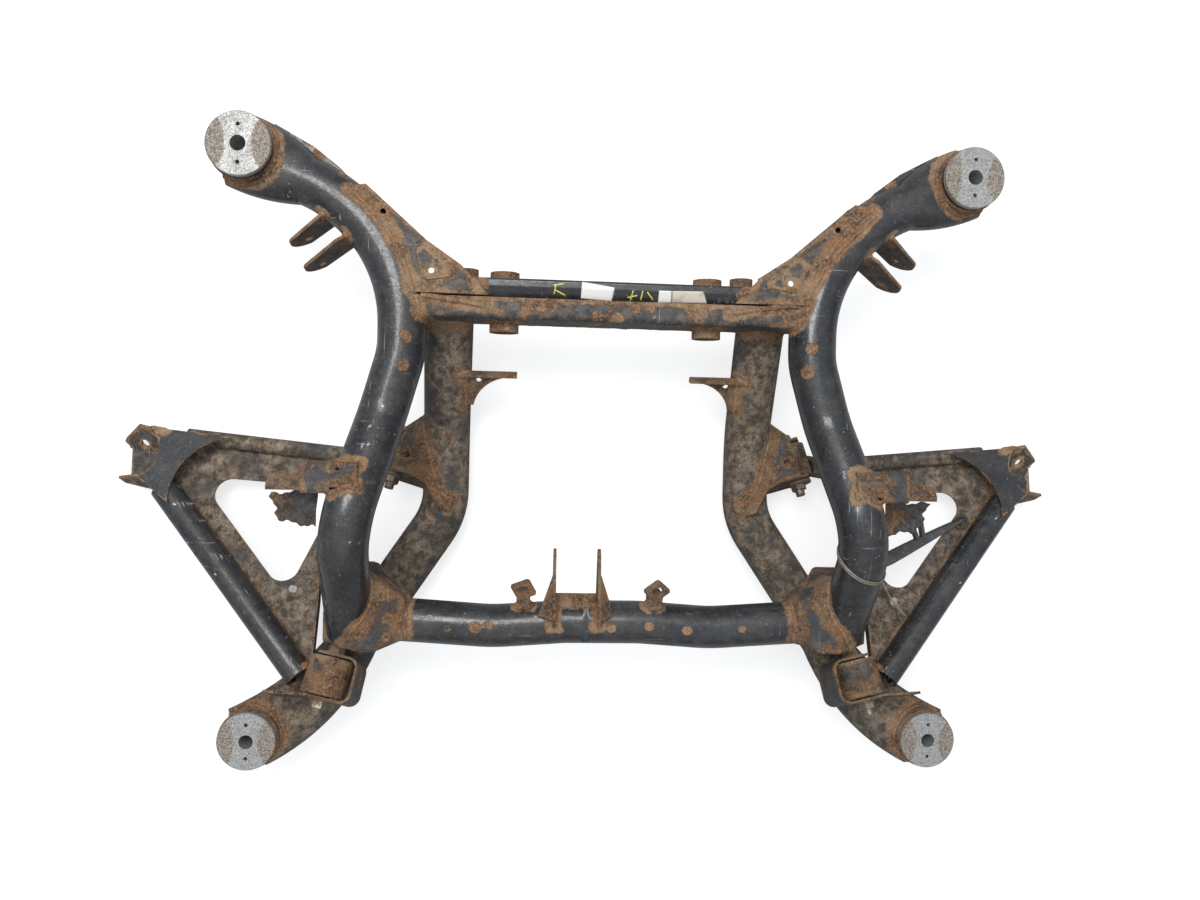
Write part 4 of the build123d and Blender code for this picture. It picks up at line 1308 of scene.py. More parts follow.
# The arm stay's pale blue-grey tint over its black paint is a painted sheen.
ARM_SHEET_BARE = AgedPaint("arm_stay_sheet", paint=(0.014, 0.016, 0.02), gloss=0.35,
                           dust_and_sheen=(0.2, 0.235, 0.28), dust_and_sheen_share=0.22, weld_reach=0.004, edge_reach=0.001,
                           patchiness=0.25, dirt=0.3, scratches=0.5)
RUSTY_WELDMENT = AgedPaint("rusty_weldment_worn", gloss=0.5, dust_and_sheen_share=0.35, weld_reach=0.02,
                           edge_reach=0.008, patchiness=0.66, dirt=0.3, scratches=0.25, relief=0.0012)
RUSTY_STEEL = AgedPaint("rusty_steel_worn", gloss=0.6, dust_and_sheen=(0.11, 0.09, 0.07), weld_reach=0.02,
                        edge_reach=0.006, patchiness=0.8, dirt=0.4, scratches=0.1, relief=0.0009)
WELD_METAL = WornSteel("weld_metal", steel=(0.12, 0.08, 0.06), bloom=0.95, rough=0.6)
BUSH_FACE = BushFace("bush_face_stained")
BUSH_RUBBER = DustyRubber("bush_rubber_dusty")
FASTENER = WornSteel("fastener_steel_worn", steel=(0.3, 0.26, 0.21), bloom=0.55)
WIRE = WornSteel("tie_wire", steel=(0.42, 0.39, 0.32), bloom=0.12, rough=0.5)
CLEAN_LABEL = Paper("clean_label", stained=0.15)
STAINED_LABEL = Paper("stained_label", colour=(0.62, 0.57, 0.48), stained=0.6)
YELLOW_PAINT = Paper("yellow_hand_paint", colour=(0.66, 0.6, 0.13), stain=(0.3, 0.25, 0.08), stained=0.3)

FINISHES: dict[str, Finish] = {
    "black_paint": BLACK_PAINT,
    "grimy_paint": GRIMY_PAINT,
    "arm_sheet": ARM_SHEET,
    "rusty_weldment": RUSTY_WELDMENT,
    "rusty_steel": RUSTY_STEEL,
    "bush_aluminium": BUSH_FACE,
    "bush_rubber": BUSH_RUBBER,
    "fastener_steel": FASTENER,
}


# The part


@dataclass
class Spot:
    """A worn place on the metal.

    Attributes:
        centre: Its middle, in metres.
        radius: Its radius, in metres.
        stain: Rust or bare metal.
    """

    centre: Point
    radius: float
    stain: Stain = Stain.RUST


@dataclass
class Part:
    """All CAD nodes as surfaces, with the welds between them.

    Attributes:
        finder: The way that welds are found.
        sight: Free distance that counts as open space, in metres.
        stand_off: Distance from the metal at which that is tried, in metres.
        corner_share: Where on the way from a triangle's middle to its corners it is tried.
        surfaces: Each node's surface, by its name, and so on for the rest.
        creases: Sharp edges.
        boxes: Search trees of the triangles.
        bodies: Names of the bodies.
        slots: Names of the material slots.
    """

    finder: WeldFinder = field(default_factory=WeldFinder)
    sight: float = 0.12
    stand_off: float = 0.001
    corner_share: float = 0.8
    surfaces: dict[str, Surface] = field(default_factory=dict)
    creases: dict[str, Creases] = field(default_factory=dict)
    boxes: dict[str, BVHTree] = field(default_factory=dict)
    bodies: dict[str, str] = field(default_factory=dict)
    slots: dict[str, str] = field(default_factory=dict)

    def __post_init__(self) -> None:
        """Reads every node."""
        for name, node in frame["nodes"].items():
            surface = Surface.of_node(node)
            self.surfaces[name] = surface
            self.creases[name] = Creases.of_surface(surface)
            self.boxes[name] = BVHTree.FromPolygons(surface.points.tolist(), surface.faces.tolist())
            self.bodies[name] = node["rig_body"]
        for entry in frame["record"]["subparts"]:
            self.slots[entry["node"]] = entry["material_slot"]
        points = np.vstack([s.points for s in self.surfaces.values()])
        starts = np.cumsum([0] + [len(s.points) for s in self.surfaces.values()])
        faces = np.vstack([s.faces + o for s, o in zip(self.surfaces.values(), starts)])
        self.everything = BVHTree.FromPolygons(points.tolist(), faces.tolist())

    def welds(self, pairs: Iterable[tuple[str, str]]) -> list[Seam]:
        """Seams of each pair, the first piece's edge lying on the second.

        Args:
            pairs: Names of each piece and of what it is welded to.

        Returns:
            The runs of weld of all pairs.
        """
        found = []
        for name, other in pairs:
            points = self.surfaces[other].points
            bounds = np.array([points.min(axis=0), points.max(axis=0)])
            found += self.finder.seams(self.creases[name], self.boxes[other], bounds, self.everything)
        return found

    def ridge(self, node: str, places: Sequence[Flat], step: float = 0.003) -> Seam:
        """A run of weld on the top of a node.

        Args:
            node: The node's name.
            places: Corners of the run from above, in millimetres.
            step: Spacing of the places that are laid on the node, in metres.

        Returns:
            The run.
        """
        corners = np.array(places) * MM
        travel = np.concatenate([[0], np.cumsum(np.linalg.norm(np.diff(corners, axis=0), axis=1))])
        at = np.arange(0, travel[-1], step)
        path = np.stack([np.interp(at, travel, corners[:, k]) for k in range(2)], 1)
        low = np.array([self.drop(node, x, y, 0.0) for x, y in path.tolist()])
        high = np.array([self.drop(node, x, y, 1.0) for x, y in path.tolist()])
        return Seam(low, high - low, False)

    def exposed(self, surface: Surface) -> np.ndarray:
        """Tells which triangles of a surface can be seen from somewhere.

        Args:
            surface: A surface of this part.

        Returns:
            True for each triangle with open space before one of its places.
        """
        normals = surface.face_normals()
        corners = surface.points[surface.faces]
        middle = corners.mean(axis=1)
        out = self.corner_share
        places = np.stack([middle, *(out * corners[:, k] + (1 - out) * middle for k in range(3))], 1)
        return np.array([any(self.is_open(Vector(place), Vector(normal)) for place in four)
                         for four, normal in zip(places.tolist(), normals.tolist())], dtype=bool)

    def is_open(self, place: Vector, normal: Vector) -> bool:
        """True where one of five ways out of a face's place meets nothing.

        Args:
            place: The face's place.
            normal: The face's normal.

        Returns:
            Whether the face can be seen.
        """
        side = normal.orthogonal().normalized()
        ways = (normal, normal + side, normal - side,
                normal + normal.cross(side), normal - normal.cross(side))
        start = place + self.stand_off * normal
        return any(self.everything.ray_cast(start, way, self.sight)[0] is None for way in ways)

    def drop(self, name: str, x: float, y: float, lift: float) -> Vector:
        """The highest point of a node under a place, raised by a lift.

        Args:
            name: The node's name.
            x: Place across, in metres.
            y: Place along, in metres.
            lift: Height above the metal, in metres.

        Returns:
            The raised point.
        """
        hit, normal, _, _ = self.boxes[name].ray_cast(Vector((x, y, 1.0)), Vector((0, 0, -1)))
        if hit is None:
            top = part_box(name)[1].z
            hit, normal, _, _ = self.boxes[name].find_nearest(Vector((x, y, top)))
        return hit + normal * lift


@dataclass(frozen=True)
class WornPlace:
    """A spot on the top of a node, placed from above.

    Attributes:
        x: Place to the right, in millimetres.
        y: Place to the front, in millimetres.
        radius: Radius, in millimetres.
        stain: Rust or bare metal.
    """

    x: float
    y: float
    radius: float
    stain: Stain = Stain.RUST

    def on(self, part: Part, node: str) -> Spot:
        """The spot on the node's top face."""
        centre = part.drop(node, self.x * MM, self.y * MM, 0.0)
        return Spot(tuple(centre), self.radius * MM, self.stain)


Worn = tuple[tuple[str, tuple[WornPlace, ...]], ...]


@dataclass
class SubAssembly:
    """Pieces of one body that are dressed together.

    Attributes:
        part: The CAD nodes.
        label: Short name for the log and for the welds' object.
        body: Name of the body that they ride on.
        sides: What a star in a node's name stands for.
        nodes: Names of the nodes, with the coarse spacing of the cuts in their skins, in metres.
        joins: Pairs of nodes, the first one's edge welded to the second.
        ridges: Welds drawn from above: a node, and places in millimetres.
        worn: Worn places seen from above: a node, and its places.
        seams: Welds found between them and what they are welded to.
        spots: Worn places on the metal, by node.
        edge_reach: Distance past which an edge no longer matters, in metres.
        fine_cell: Spacing of the cuts near welds and spots, in metres.
        fine_reach: How near that is, in metres.
    """

    part: Part
    label: str = ""
    body: str = "frame"
    sides: tuple[str, ...] = SIDES
    nodes: Cells = ()
    joins: Pairs = ()
    ridges: Ridges = ()
    worn: Worn = ()
    seams: list[Seam] = field(default_factory=list)
    spots: dict[str, list[Spot]] = field(default_factory=dict)
    edge_reach: float = 0.02
    fine_cell: float = 0.006
    fine_reach: float = 0.014

    def spread(self, rows: Iterable[tuple]) -> list[tuple]:
        """Puts the sides in place of the stars in rows of names.

        Args:
            rows: Rows that hold names of nodes.

        Returns:
            The rows without a star, and then the others for each side in turn.
        """
        starred = [row for row in rows if "*" in "".join(map(str, row))]
        found = [row for row in rows if row not in starred]
        for side in self.sides:
            found += [tuple(item.replace("*", side) if isinstance(item, str) else item for item in row)
                      for row in starred]
        return found

    def mark_spots(self) -> None:
        """Lays the worn places on the metal."""
        for node, places in self.worn:
            self.spots[node] = [place.on(self.part, node) for place in places]

    def extras(self) -> None:
        """Builds pieces that are no CAD nodes."""

    def find_welds(self) -> None:
        """Looks for the seams of the welded pairs."""
        self.seams = self.part.welds(self.spread(self.joins))
        self.seams += [self.part.ridge(node, places) for node, places in self.ridges]
        total = sum(WeldFinder.length(seam) for seam in self.seams)
        LOG.info("%s: %d welds, %.2f m", self.label, len(self.seams), total)

    def build(self, welds: Nearness) -> None:
        """Builds and dresses all pieces.

        Args:
            welds: Places on all welds of the body.
        """
        self.mark_spots()
        for node, coarse in self.spread(self.nodes):
            self.build_skin(node, coarse, welds)
        if self.seams:
            self.build_beads()
        self.extras()

    def build_skin(self, node: str, coarse: float, welds: Nearness) -> None:
        """Carries one node over as a skin with its marks, fine near welds and spots.

        Args:
            node: The node's name.
            coarse: Spacing of its cuts away from welds and spots, in metres.
            welds: Places on all welds of the body.
        """
        surface = self.part.surfaces[node]
        surface = surface.refined(self.part.exposed(surface), coarse)
        near = welds.of(surface.points)
        for stain in Stain:
            near = np.minimum(near, self.spot_distance(node, surface.points, stain))
        close = near[surface.faces].min(axis=1) < self.fine_reach + coarse / 2
        close[close] = self.part.exposed(Surface(surface.points, surface.normals, surface.faces[close]))
        surface = surface.refined(close, self.fine_cell)
        skin = surface.to_object(f"{node}_skin")
        creases = self.part.creases[node]
        marks = {Mark.WELD: welds.of(surface.points)}
        for mark, chosen in ((Mark.EDGE, creases.outward), (Mark.HOLLOW, ~creases.outward)):
            places = creases.spaced(chosen, self.fine_cell)
            marks[mark] = Nearness(places, self.edge_reach).of(surface.points)
        for stain in Stain:
            marks[stain.value] = self.spot_distance(node, surface.points, stain)
        marks.update(self.more_marks(node, surface.points))
        write_marks(skin, marks)
        self.finish_of(node).put_on(skin)
        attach(skin, self.part.bodies[node])
        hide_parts(node)
        LOG.info("%s: %d faces", skin.name, len(surface.faces))

    def finish_of(self, node: str) -> Finish:
        """The finish of a node, by its slot unless a sub-assembly knows better."""
        return FINISHES[self.part.slots[node]]

    def more_marks(self, node: str, points: np.ndarray) -> dict[Mark, np.ndarray]:
        """Further values for a node's points, by mark."""
        return {}

    def spot_distance(self, node: str, points: np.ndarray, stain: Stain) -> np.ndarray:
        """Distance of points to the nearest spot's rim, negative inside a spot.

        Args:
            node: The node's name.
            points: Points of its skin.
            stain: The kind of spot.

        Returns:
            The distances, in metres.
        """
        nearest = np.full(len(points), FAR_AWAY)
        for spot in self.spots.get(node, []):
            if spot.stain is stain:
                away = np.linalg.norm(points - np.array(spot.centre), axis=1) - spot.radius
                nearest = np.minimum(nearest, away)
        return nearest

    def build_beads(self) -> None:
        """Lays the weld metal of all seams in one piece."""
        seams = [(seam, seed) for seed, seam in enumerate(self.seams)]
        welds = bead_object(f"{self.label}_welds", Bead(), seams)
        WELD_METAL.put_on(welds)
        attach(welds, self.body)
        LOG.info("%s: %d faces", welds.name, len(welds.data.polygons))


@dataclass
class UpperRails(SubAssembly):
    """Both upper rails with their link and hose brackets."""

    label: str = "upper_rails"
    nodes: Cells = (
        ("upper_rail_*", RAIL_CELL), ("link_bracket_*", SHEET_CELL), ("hose_bracket_*", SHEET_CELL),
    )
    joins: Pairs = (
        ("link_bracket_*", "upper_rail_*"), ("hose_bracket_*", "upper_rail_*"),
        ("upper_rail_*", "front_bush_housing_*"),
    )
    ridges: Ridges = (
        ("upper_rail_left", ((-348, 360), (-315, 332), (-292, 304), (-275, 268), (-268, 229))),
        ("upper_rail_right", ((355, 353), (321, 318), (292, 287), (263, 235))),
    )
    worn: Worn = (
        ("upper_rail_left", (
            WornPlace(-272, 167, 5), WornPlace(-274, 130, 5), WornPlace(-299, 76, 1, Stain.BARE),
            WornPlace(-329, -97, 1, Stain.BARE), WornPlace(-393, 409, 6), WornPlace(-358, 380, 6),
        )),
        ("upper_rail_right", (
            WornPlace(271, 168, 5), WornPlace(267, 137, 6), WornPlace(386, 404, 6), WornPlace(352, 378, 7),
        )),
    )


@dataclass
class LowerRails(SubAssembly):
    """Both lower rails with their shelves."""

    label: str = "lower_rails"
    nodes: Cells = (("lower_rail_*", RAIL_CELL), ("rail_shelf_*", SHEET_CELL))
    joins: Pairs = (
        ("rail_shelf_*", "lower_rail_*"), ("lower_rail_*", "rear_bush_housing_*"),
        ("lower_rail_*", "crossmember_front"), ("lower_rail_*", "crossmember_rear"),
    )


@dataclass
class FrontCrossmember(SubAssembly):
    """The crossmember with its gussets, sleeves, collars, labels and paint marks.

    Attributes:
        lift: How far labels and paint stand off the metal, in metres.
        sheet_wall: Thickness of labels and paint, in metres.
        sheet_cell: Cell of a label along its length and its width, in metres.
        stroke: Half of a paint stroke's width, in millimetres.
    """

    label: str = "crossmember"
    nodes: Cells = (
        ("crossmember_front", PAN_CELL), ("crossmember_rear", PAN_CELL), ("diff_sleeves", ROUND_CELL),
        ("crossmember_collars", ROUND_CELL), ("crossmember_gusset_*", SHEET_CELL),
    )
    joins: Pairs = (
        ("crossmember_rear", "crossmember_front"), ("crossmember_front", "diff_sleeves"),
        ("crossmember_rear", "diff_sleeves"), ("crossmember_front", "crossmember_collars"),
        ("crossmember_front", "upper_rail_*"), ("crossmember_rear", "upper_rail_*"),
        ("crossmember_gusset_*", "upper_rail_*"), ("crossmember_gusset_*", "crossmember_rear"),
        ("crossmember_gusset_*", "crossmember_front"),
    )
    ridges: Ridges = (
        ("crossmember_rear", ((-255, 225), (-167, 213))),
        ("crossmember_rear", ((163, 214), (258, 230))),
    )
    worn: Worn = (
        ("crossmember_rear", (
            WornPlace(-112, 219, 6), WornPlace(-96, 217, 7), WornPlace(-84, 215, 6), WornPlace(108, 218, 7),
            WornPlace(118, 210, 8), WornPlace(31, 217, 4), WornPlace(50, 217, 4), WornPlace(-20, 203, 5),
            WornPlace(6, 201, 6),
        )),
    )
    lift: float = 0.0003
    sheet_wall: float = 0.00024
    sheet_cell: Flat = (0.0025, 0.0015)
    stroke: float = 0.8

    def finish_of(self, node: str) -> Finish:
        """Scuffed paint on the rear shell and the gussets."""
        scuffed = node == "crossmember_rear" or "gusset" in node
        return SCUFFED_PAINT if scuffed else super().finish_of(node)

    def top(self, x: float, y: float) -> Vector:
        """The place on the crossmember's top at x and y, a little proud.

        Args:
            x: Place across, in metres.
            y: Place along, in metres.

        Returns:
            The raised point.
        """
        found = []
        for node in ("crossmember_front", "crossmember_rear"):
            hit, normal, _, _ = self.part.boxes[node].ray_cast(Vector((x, y, 1.0)), Vector((0, 0, -1)))
            if hit is not None:
                found.append(hit + normal * self.lift)
        return max(found, key=lambda point: point.z)

    def sheet(self, name: str, corners: Sequence[Flat], finish: Finish) -> None:
        """Lays a thin four-cornered sheet over the top.

        Args:
            name: The piece's name.
            corners: Its corners from above in order, in millimetres.
            finish: Its finish.
        """
        a, b, c, d = (Vector(corner) * MM for corner in corners)
        columns = max(3, int((b - a).length / self.sheet_cell[0]))
        rows = max(3, int((d - a).length / self.sheet_cell[1]))
        upper = []
        for j in range(rows + 1):
            for i in range(columns + 1):
                u, v = i / columns, j / rows
                flat = (a * (1 - u) + b * u) * (1 - v) + (d * (1 - u) + c * u) * v
                upper.append(self.top(flat.x, flat.y))
        lower = [point - Vector((0, 0, self.sheet_wall)) for point in upper]
        piece = mesh_object(name, upper + lower, slab_faces(columns, rows))
        finish.put_on(piece)
        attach(piece, self.body)
        LOG.info("%s: laid on", name)

    def extras(self) -> None:
        """Three blank labels and short strokes of yellow paint."""
        self.sheet("label_clean", [(-43, 228), (-1, 225.5), (2, 243), (-42, 249)], CLEAN_LABEL)
        self.sheet("label_clean_small", [(62, 226), (80, 226.5), (79, 241), (62, 241)], CLEAN_LABEL)
        self.sheet("label_stained", [(81, 226.5), (129, 227), (122, 242), (80, 241)], STAINED_LABEL)
        strokes = [(-80, 243, -66, 246), (-79, 232, -77, 243), (-77, 237, -64, 231),
                   (20, 231, 33, 234), (24, 227, 27, 240), (38, 228, 40, 240), (46, 239, 55, 229)]
        for number, (x0, y0, x1, y1) in enumerate(strokes, 1):
            along = Vector((x1 - x0, y1 - y0)).normalized() * self.stroke
            side = (-along.y, along.x)
            corners = [(x0 - side[0], y0 - side[1]), (x1 - side[0], y1 - side[1]),
                       (x1 + side[0], y1 + side[1]), (x0 + side[0], y0 + side[1])]
            self.sheet(f"paint_stroke_{number}", corners, YELLOW_PAINT)


@dataclass
class RearCross(SubAssembly):
    """Cross tube, corner shells, the differential's mount and the tabs."""

    label: str = "rear_cross"
    nodes: Cells = (
        ("rear_cross_tube", RAIL_CELL), ("rear_mount", SHEET_CELL), ("rear_tabs", SHEET_CELL),
        ("rear_corner_*", SHEET_CELL),
    )
    joins: Pairs = (
        ("rear_mount", "rear_cross_tube"), ("rear_tabs", "rear_cross_tube"),
        ("rear_corner_*", "upper_rail_*"), ("rear_corner_*", "lower_rail_*"),
        ("rear_corner_*", "rear_cross_tube"),
    )
    worn: Worn = (
        ("rear_cross_tube", (
            WornPlace(-214, -226, 2), WornPlace(-176, -223, 5), WornPlace(-158, -220, 4),
            WornPlace(-60, -226, 2), WornPlace(12, -223, 3), WornPlace(64, -220, 3),
            WornPlace(118, -226, 4), WornPlace(196, -223, 2),
        )),
    )


@dataclass
class PivotBrackets(SubAssembly):
    """Brackets that carry the arms, with bolts, nuts, washers and sleeves."""

    label: str = "pivot_brackets"
    nodes: Cells = (
        ("cam_bracket_*", SHEET_CELL), ("rear_bracket_*", SHEET_CELL), ("pivot_sleeves", ROUND_CELL),
        ("cam_bolts", ROUND_CELL), ("cam_nuts", ROUND_CELL), ("cam_washers", ROUND_CELL),
        ("rear_pivot_bolts", ROUND_CELL), ("rear_pivot_nuts", ROUND_CELL),
        ("rear_pivot_washers", ROUND_CELL),
    )
    joins: Pairs = tuple(
        (f"{node}_{side}", f"lower_rail_{side}")
        for node in ("cam_bracket", "rear_bracket") for side in SIDES
    )


@dataclass
class BodyBushes(SubAssembly):
    """The four body bushes: housing, aluminium core and rubber."""

    label: str = "body_bushes"
    nodes: Cells = (
        ("front_bush_rubbers", ROUND_CELL), ("rear_bush_rubbers", ROUND_CELL),
        ("front_bush_housing_*", ROUND_CELL), ("front_bush_core_*", ROUND_CELL),
        ("rear_bush_housing_*", ROUND_CELL), ("rear_bush_core_*", ROUND_CELL),
    )

    def more_marks(self, node: str, points: np.ndarray) -> dict[Mark, np.ndarray]:
        """Places from each core's middle, for its stains.

        Args:
            node: The node's name.
            points: Points of its skin.

        Returns:
            Values of the points, by mark.
        """
        low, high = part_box(node)
        middle = (low + high) / 2
        return {Mark.ACROSS: points[:, 0] - middle.x, Mark.ALONG: points[:, 1] - middle.y}


@dataclass
class ControlArm(SubAssembly):
    """One lower control arm.

    Attributes:
        side: Left or right.
        chips: Place and radius of each chip on the right tube, from above, in millimetres.
        disc: Place and radius of each pan's pale disc, in the same way.
    """

    side: str = "left"
    nodes: Cells = (
        ("arm_pan_*", PAN_CELL), ("arm_tube_*", RAIL_CELL), ("arm_bridge_*", SHEET_CELL),
        ("arm_clevis_*", SHEET_CELL), ("arm_front_eye_*", ROUND_CELL), ("arm_rear_eye_*", ROUND_CELL),
        ("arm_front_rubber_*", ROUND_CELL), ("arm_rear_rubber_*", ROUND_CELL),
    )
    joins: Pairs = (
        ("arm_pan_*", "arm_tube_*"), ("arm_pan_*", "arm_front_eye_*"), ("arm_pan_*", "arm_rear_eye_*"),
        ("arm_tube_*", "arm_rear_eye_*"), ("arm_tube_*", "arm_clevis_*"), ("arm_clevis_*", "arm_pan_*"),
        ("arm_bridge_*", "arm_tube_*"), ("arm_bridge_*", "arm_clevis_*"),
    )
    chips: tuple[Point, ...] = ((621, -71, 1.5), (598, -126, 1), (572, -166, 1.5))
    disc: tuple[tuple[str, Point], ...] = (("left", (-448, -192, 5)), ("right", (456, -201, 5)))

    def __post_init__(self) -> None:
        """Names the arm after its side and gives that side its worn places."""
        self.label = self.body = f"{self.side}_arm"
        self.sides = (self.side,)
        sign = -1 if self.side == "left" else 1
        chips = tuple(WornPlace(sign * x, y, radius, Stain.BARE) for x, y, radius in self.chips)
        disc = WornPlace(*dict(self.disc)[self.side], Stain.BARE)
        self.worn = ((f"arm_tube_{self.side}", chips), (f"arm_pan_{self.side}", (disc,)))

    def finish_of(self, node: str) -> Finish:
        """Black bridge and scuffed fork on the brown pan."""
        special = {"arm_bridge": BLACK_PAINT, "arm_clevis": SCUFFED_PAINT}
        return special.get(node.removesuffix(f"_{self.side}"), super().finish_of(node))


def lofted(name: str, rings: Sequence[Sequence[Point]]) -> bpy.types.Object:
    """A flat-shaded solid through closed rings of equal length.

    Args:
        name: The object's name.
        rings: The rings' points, in metres.

    Returns:
        The linked object, closed at both ends.
    """
    size = len(rings[0])
    faces = [tuple(range(size))[::-1], tuple(range(size * (len(rings) - 1), size * len(rings)))]
    for k in range(len(rings) - 1):
        for j in range(size):
            i = k * size
            faces.append((i + j, i + (j + 1) % size, i + size + (j + 1) % size, i + size + j))
    piece = mesh_object(name, [point for ring in rings for point in ring], faces)
    piece.data.shade_flat()
    return piece


@dataclass
class ArmStay(SubAssembly):
    """The pointed channel over the right arm's window, with two short ribs.

    Attributes:
        inner: Middle of its broad end, in metres.
        tip: Its pointed end.
        ribs: Both ends of each rib.
        broad: Half of the broad end's width.
        height: Height of its flanges.
        wall: Thickness of its sheet.
    """

    label: str = "arm_stay"
    body: str = "right_arm"
    inner: Point = (0.432, -0.146, 0.101)
    tip: Point = (0.586, -0.073, 0.07)
    ribs: tuple[tuple[Point, Point], ...] = (
        ((0.4987, -0.1055, 0.088), (0.4906, -0.0737, 0.0745)),
        ((0.5096, -0.1052, 0.086), (0.5083, -0.0709, 0.073)),
    )
    broad: float = 0.009
    height: float = 0.012
    wall: float = 0.0022

    def channel(self, name: str, ends: tuple[Point, Point], widths: Sequence[float]) -> None:
        """A folded channel between two places.

        Args:
            name: The piece's name.
            ends: Middles of its ends, at the top.
            widths: Half widths at evenly spaced stations.
        """
        start, end = Vector(ends[0]), Vector(ends[1])
        across = Vector((0, 0, 1)).cross(end - start).normalized()
        down = across.cross(end - start).normalized()
        down *= -1 if down.z > 0 else 1
        rings = []
        for k, half in enumerate(widths):
            middle = start.lerp(end, k / (len(widths) - 1))
            inner = max(0.0004, half - self.wall)
            outline = [(-half, 1), (-half, 0), (half, 0), (half, 1), (inner, 1), (inner, 0.25),
                       (-inner, 0.25), (-inner, 1)]
            rings.append([middle + across * x + down * (y * self.height) for x, y in outline])
        piece = lofted(name, rings)
        write_marks(piece, {})
        ARM_SHEET_BARE.put_on(piece)
        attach(piece, self.body)
        LOG.info("%s: placed", name)

    def extras(self) -> None:
        """The channel and its ribs."""
        shape = [self.broad * share for share in (0.8, 1.0, 0.95, 0.86, 0.76, 0.64, 0.5, 0.32, 0.12)]
        self.channel("arm_stay", (self.inner, self.tip), shape)
        for number, ends in enumerate(self.ribs, 1):
            self.channel(f"arm_stay_rib_{number}", ends, [0.0026, 0.0024, 0.0026])


@dataclass
class TornFlaps(SubAssembly):
    """A torn, rusty flap of sheet under each hose bracket.

    Attributes:
        corners: Corners of the right flap in order, in metres.
        cells: Cells along each side of its grid.
        ragged: How far its border wanders, in metres.
        buckle: How far its sheet bends up and down, in metres.
        wall: Thickness of its sheet, in metres.
    """

    label: str = "torn_flaps"
    corners: tuple[Point, ...] = (
        (0.384, -0.037, 0.236), (0.449, -0.041, 0.229), (0.436, -0.079, 0.222), (0.386, -0.086, 0.232)
    )
    cells: int = 16
    ragged: float = 0.0022
    buckle: float = 0.0035
    wall: float = 0.0018

    def place(self, u: float, v: float, turn: float) -> Vector:
        """The sheet's upper side at two shares of its grid.

        Args:
            u: Share from the rail outwards.
            v: Share from the front to the rear.
            turn: Phase that makes both flaps differ.

        Returns:
            The place on the right flap.
        """
        a, b, c, d = (Vector(corner) for corner in self.corners)
        flat = a.lerp(b, u).lerp(d.lerp(c, u), v)
        edge = math.sin(11 * v + turn) + 0.6 * math.sin(23 * v + 2 * turn)
        side = math.sin(9 * u + 2 + turn) + 0.5 * math.sin(27 * u + turn)
        bend = math.sin(5 * u + 3 * v + turn) + 0.4 * math.sin(14 * u - 9 * v)
        shift = Vector((edge * self.ragged * u, side * self.ragged * (2 * v - 1), bend * self.buckle))
        return flat + shift

    def extras(self) -> None:
        """One flap on each side."""
        count = self.cells + 1
        for sign, side in ((-1, "left"), (1, "right")):
            upper = [self.place(i / self.cells, j / self.cells, sign) for j in range(count)
                     for i in range(count)]
            upper = [Vector((sign * p.x, p.y, p.z)) for p in upper]
            lower = [p - Vector((0, 0, self.wall)) for p in upper]
            faces = slab_faces(self.cells, self.cells, turned=sign > 0)
            flap = mesh_object(f"torn_flap_{side}", upper + lower, faces)
            flap.data.shade_flat()
            write_marks(flap, {})
            RUSTY_WELDMENT.put_on(flap)
            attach(flap, self.body)
            LOG.info("%s: placed", flap.name)


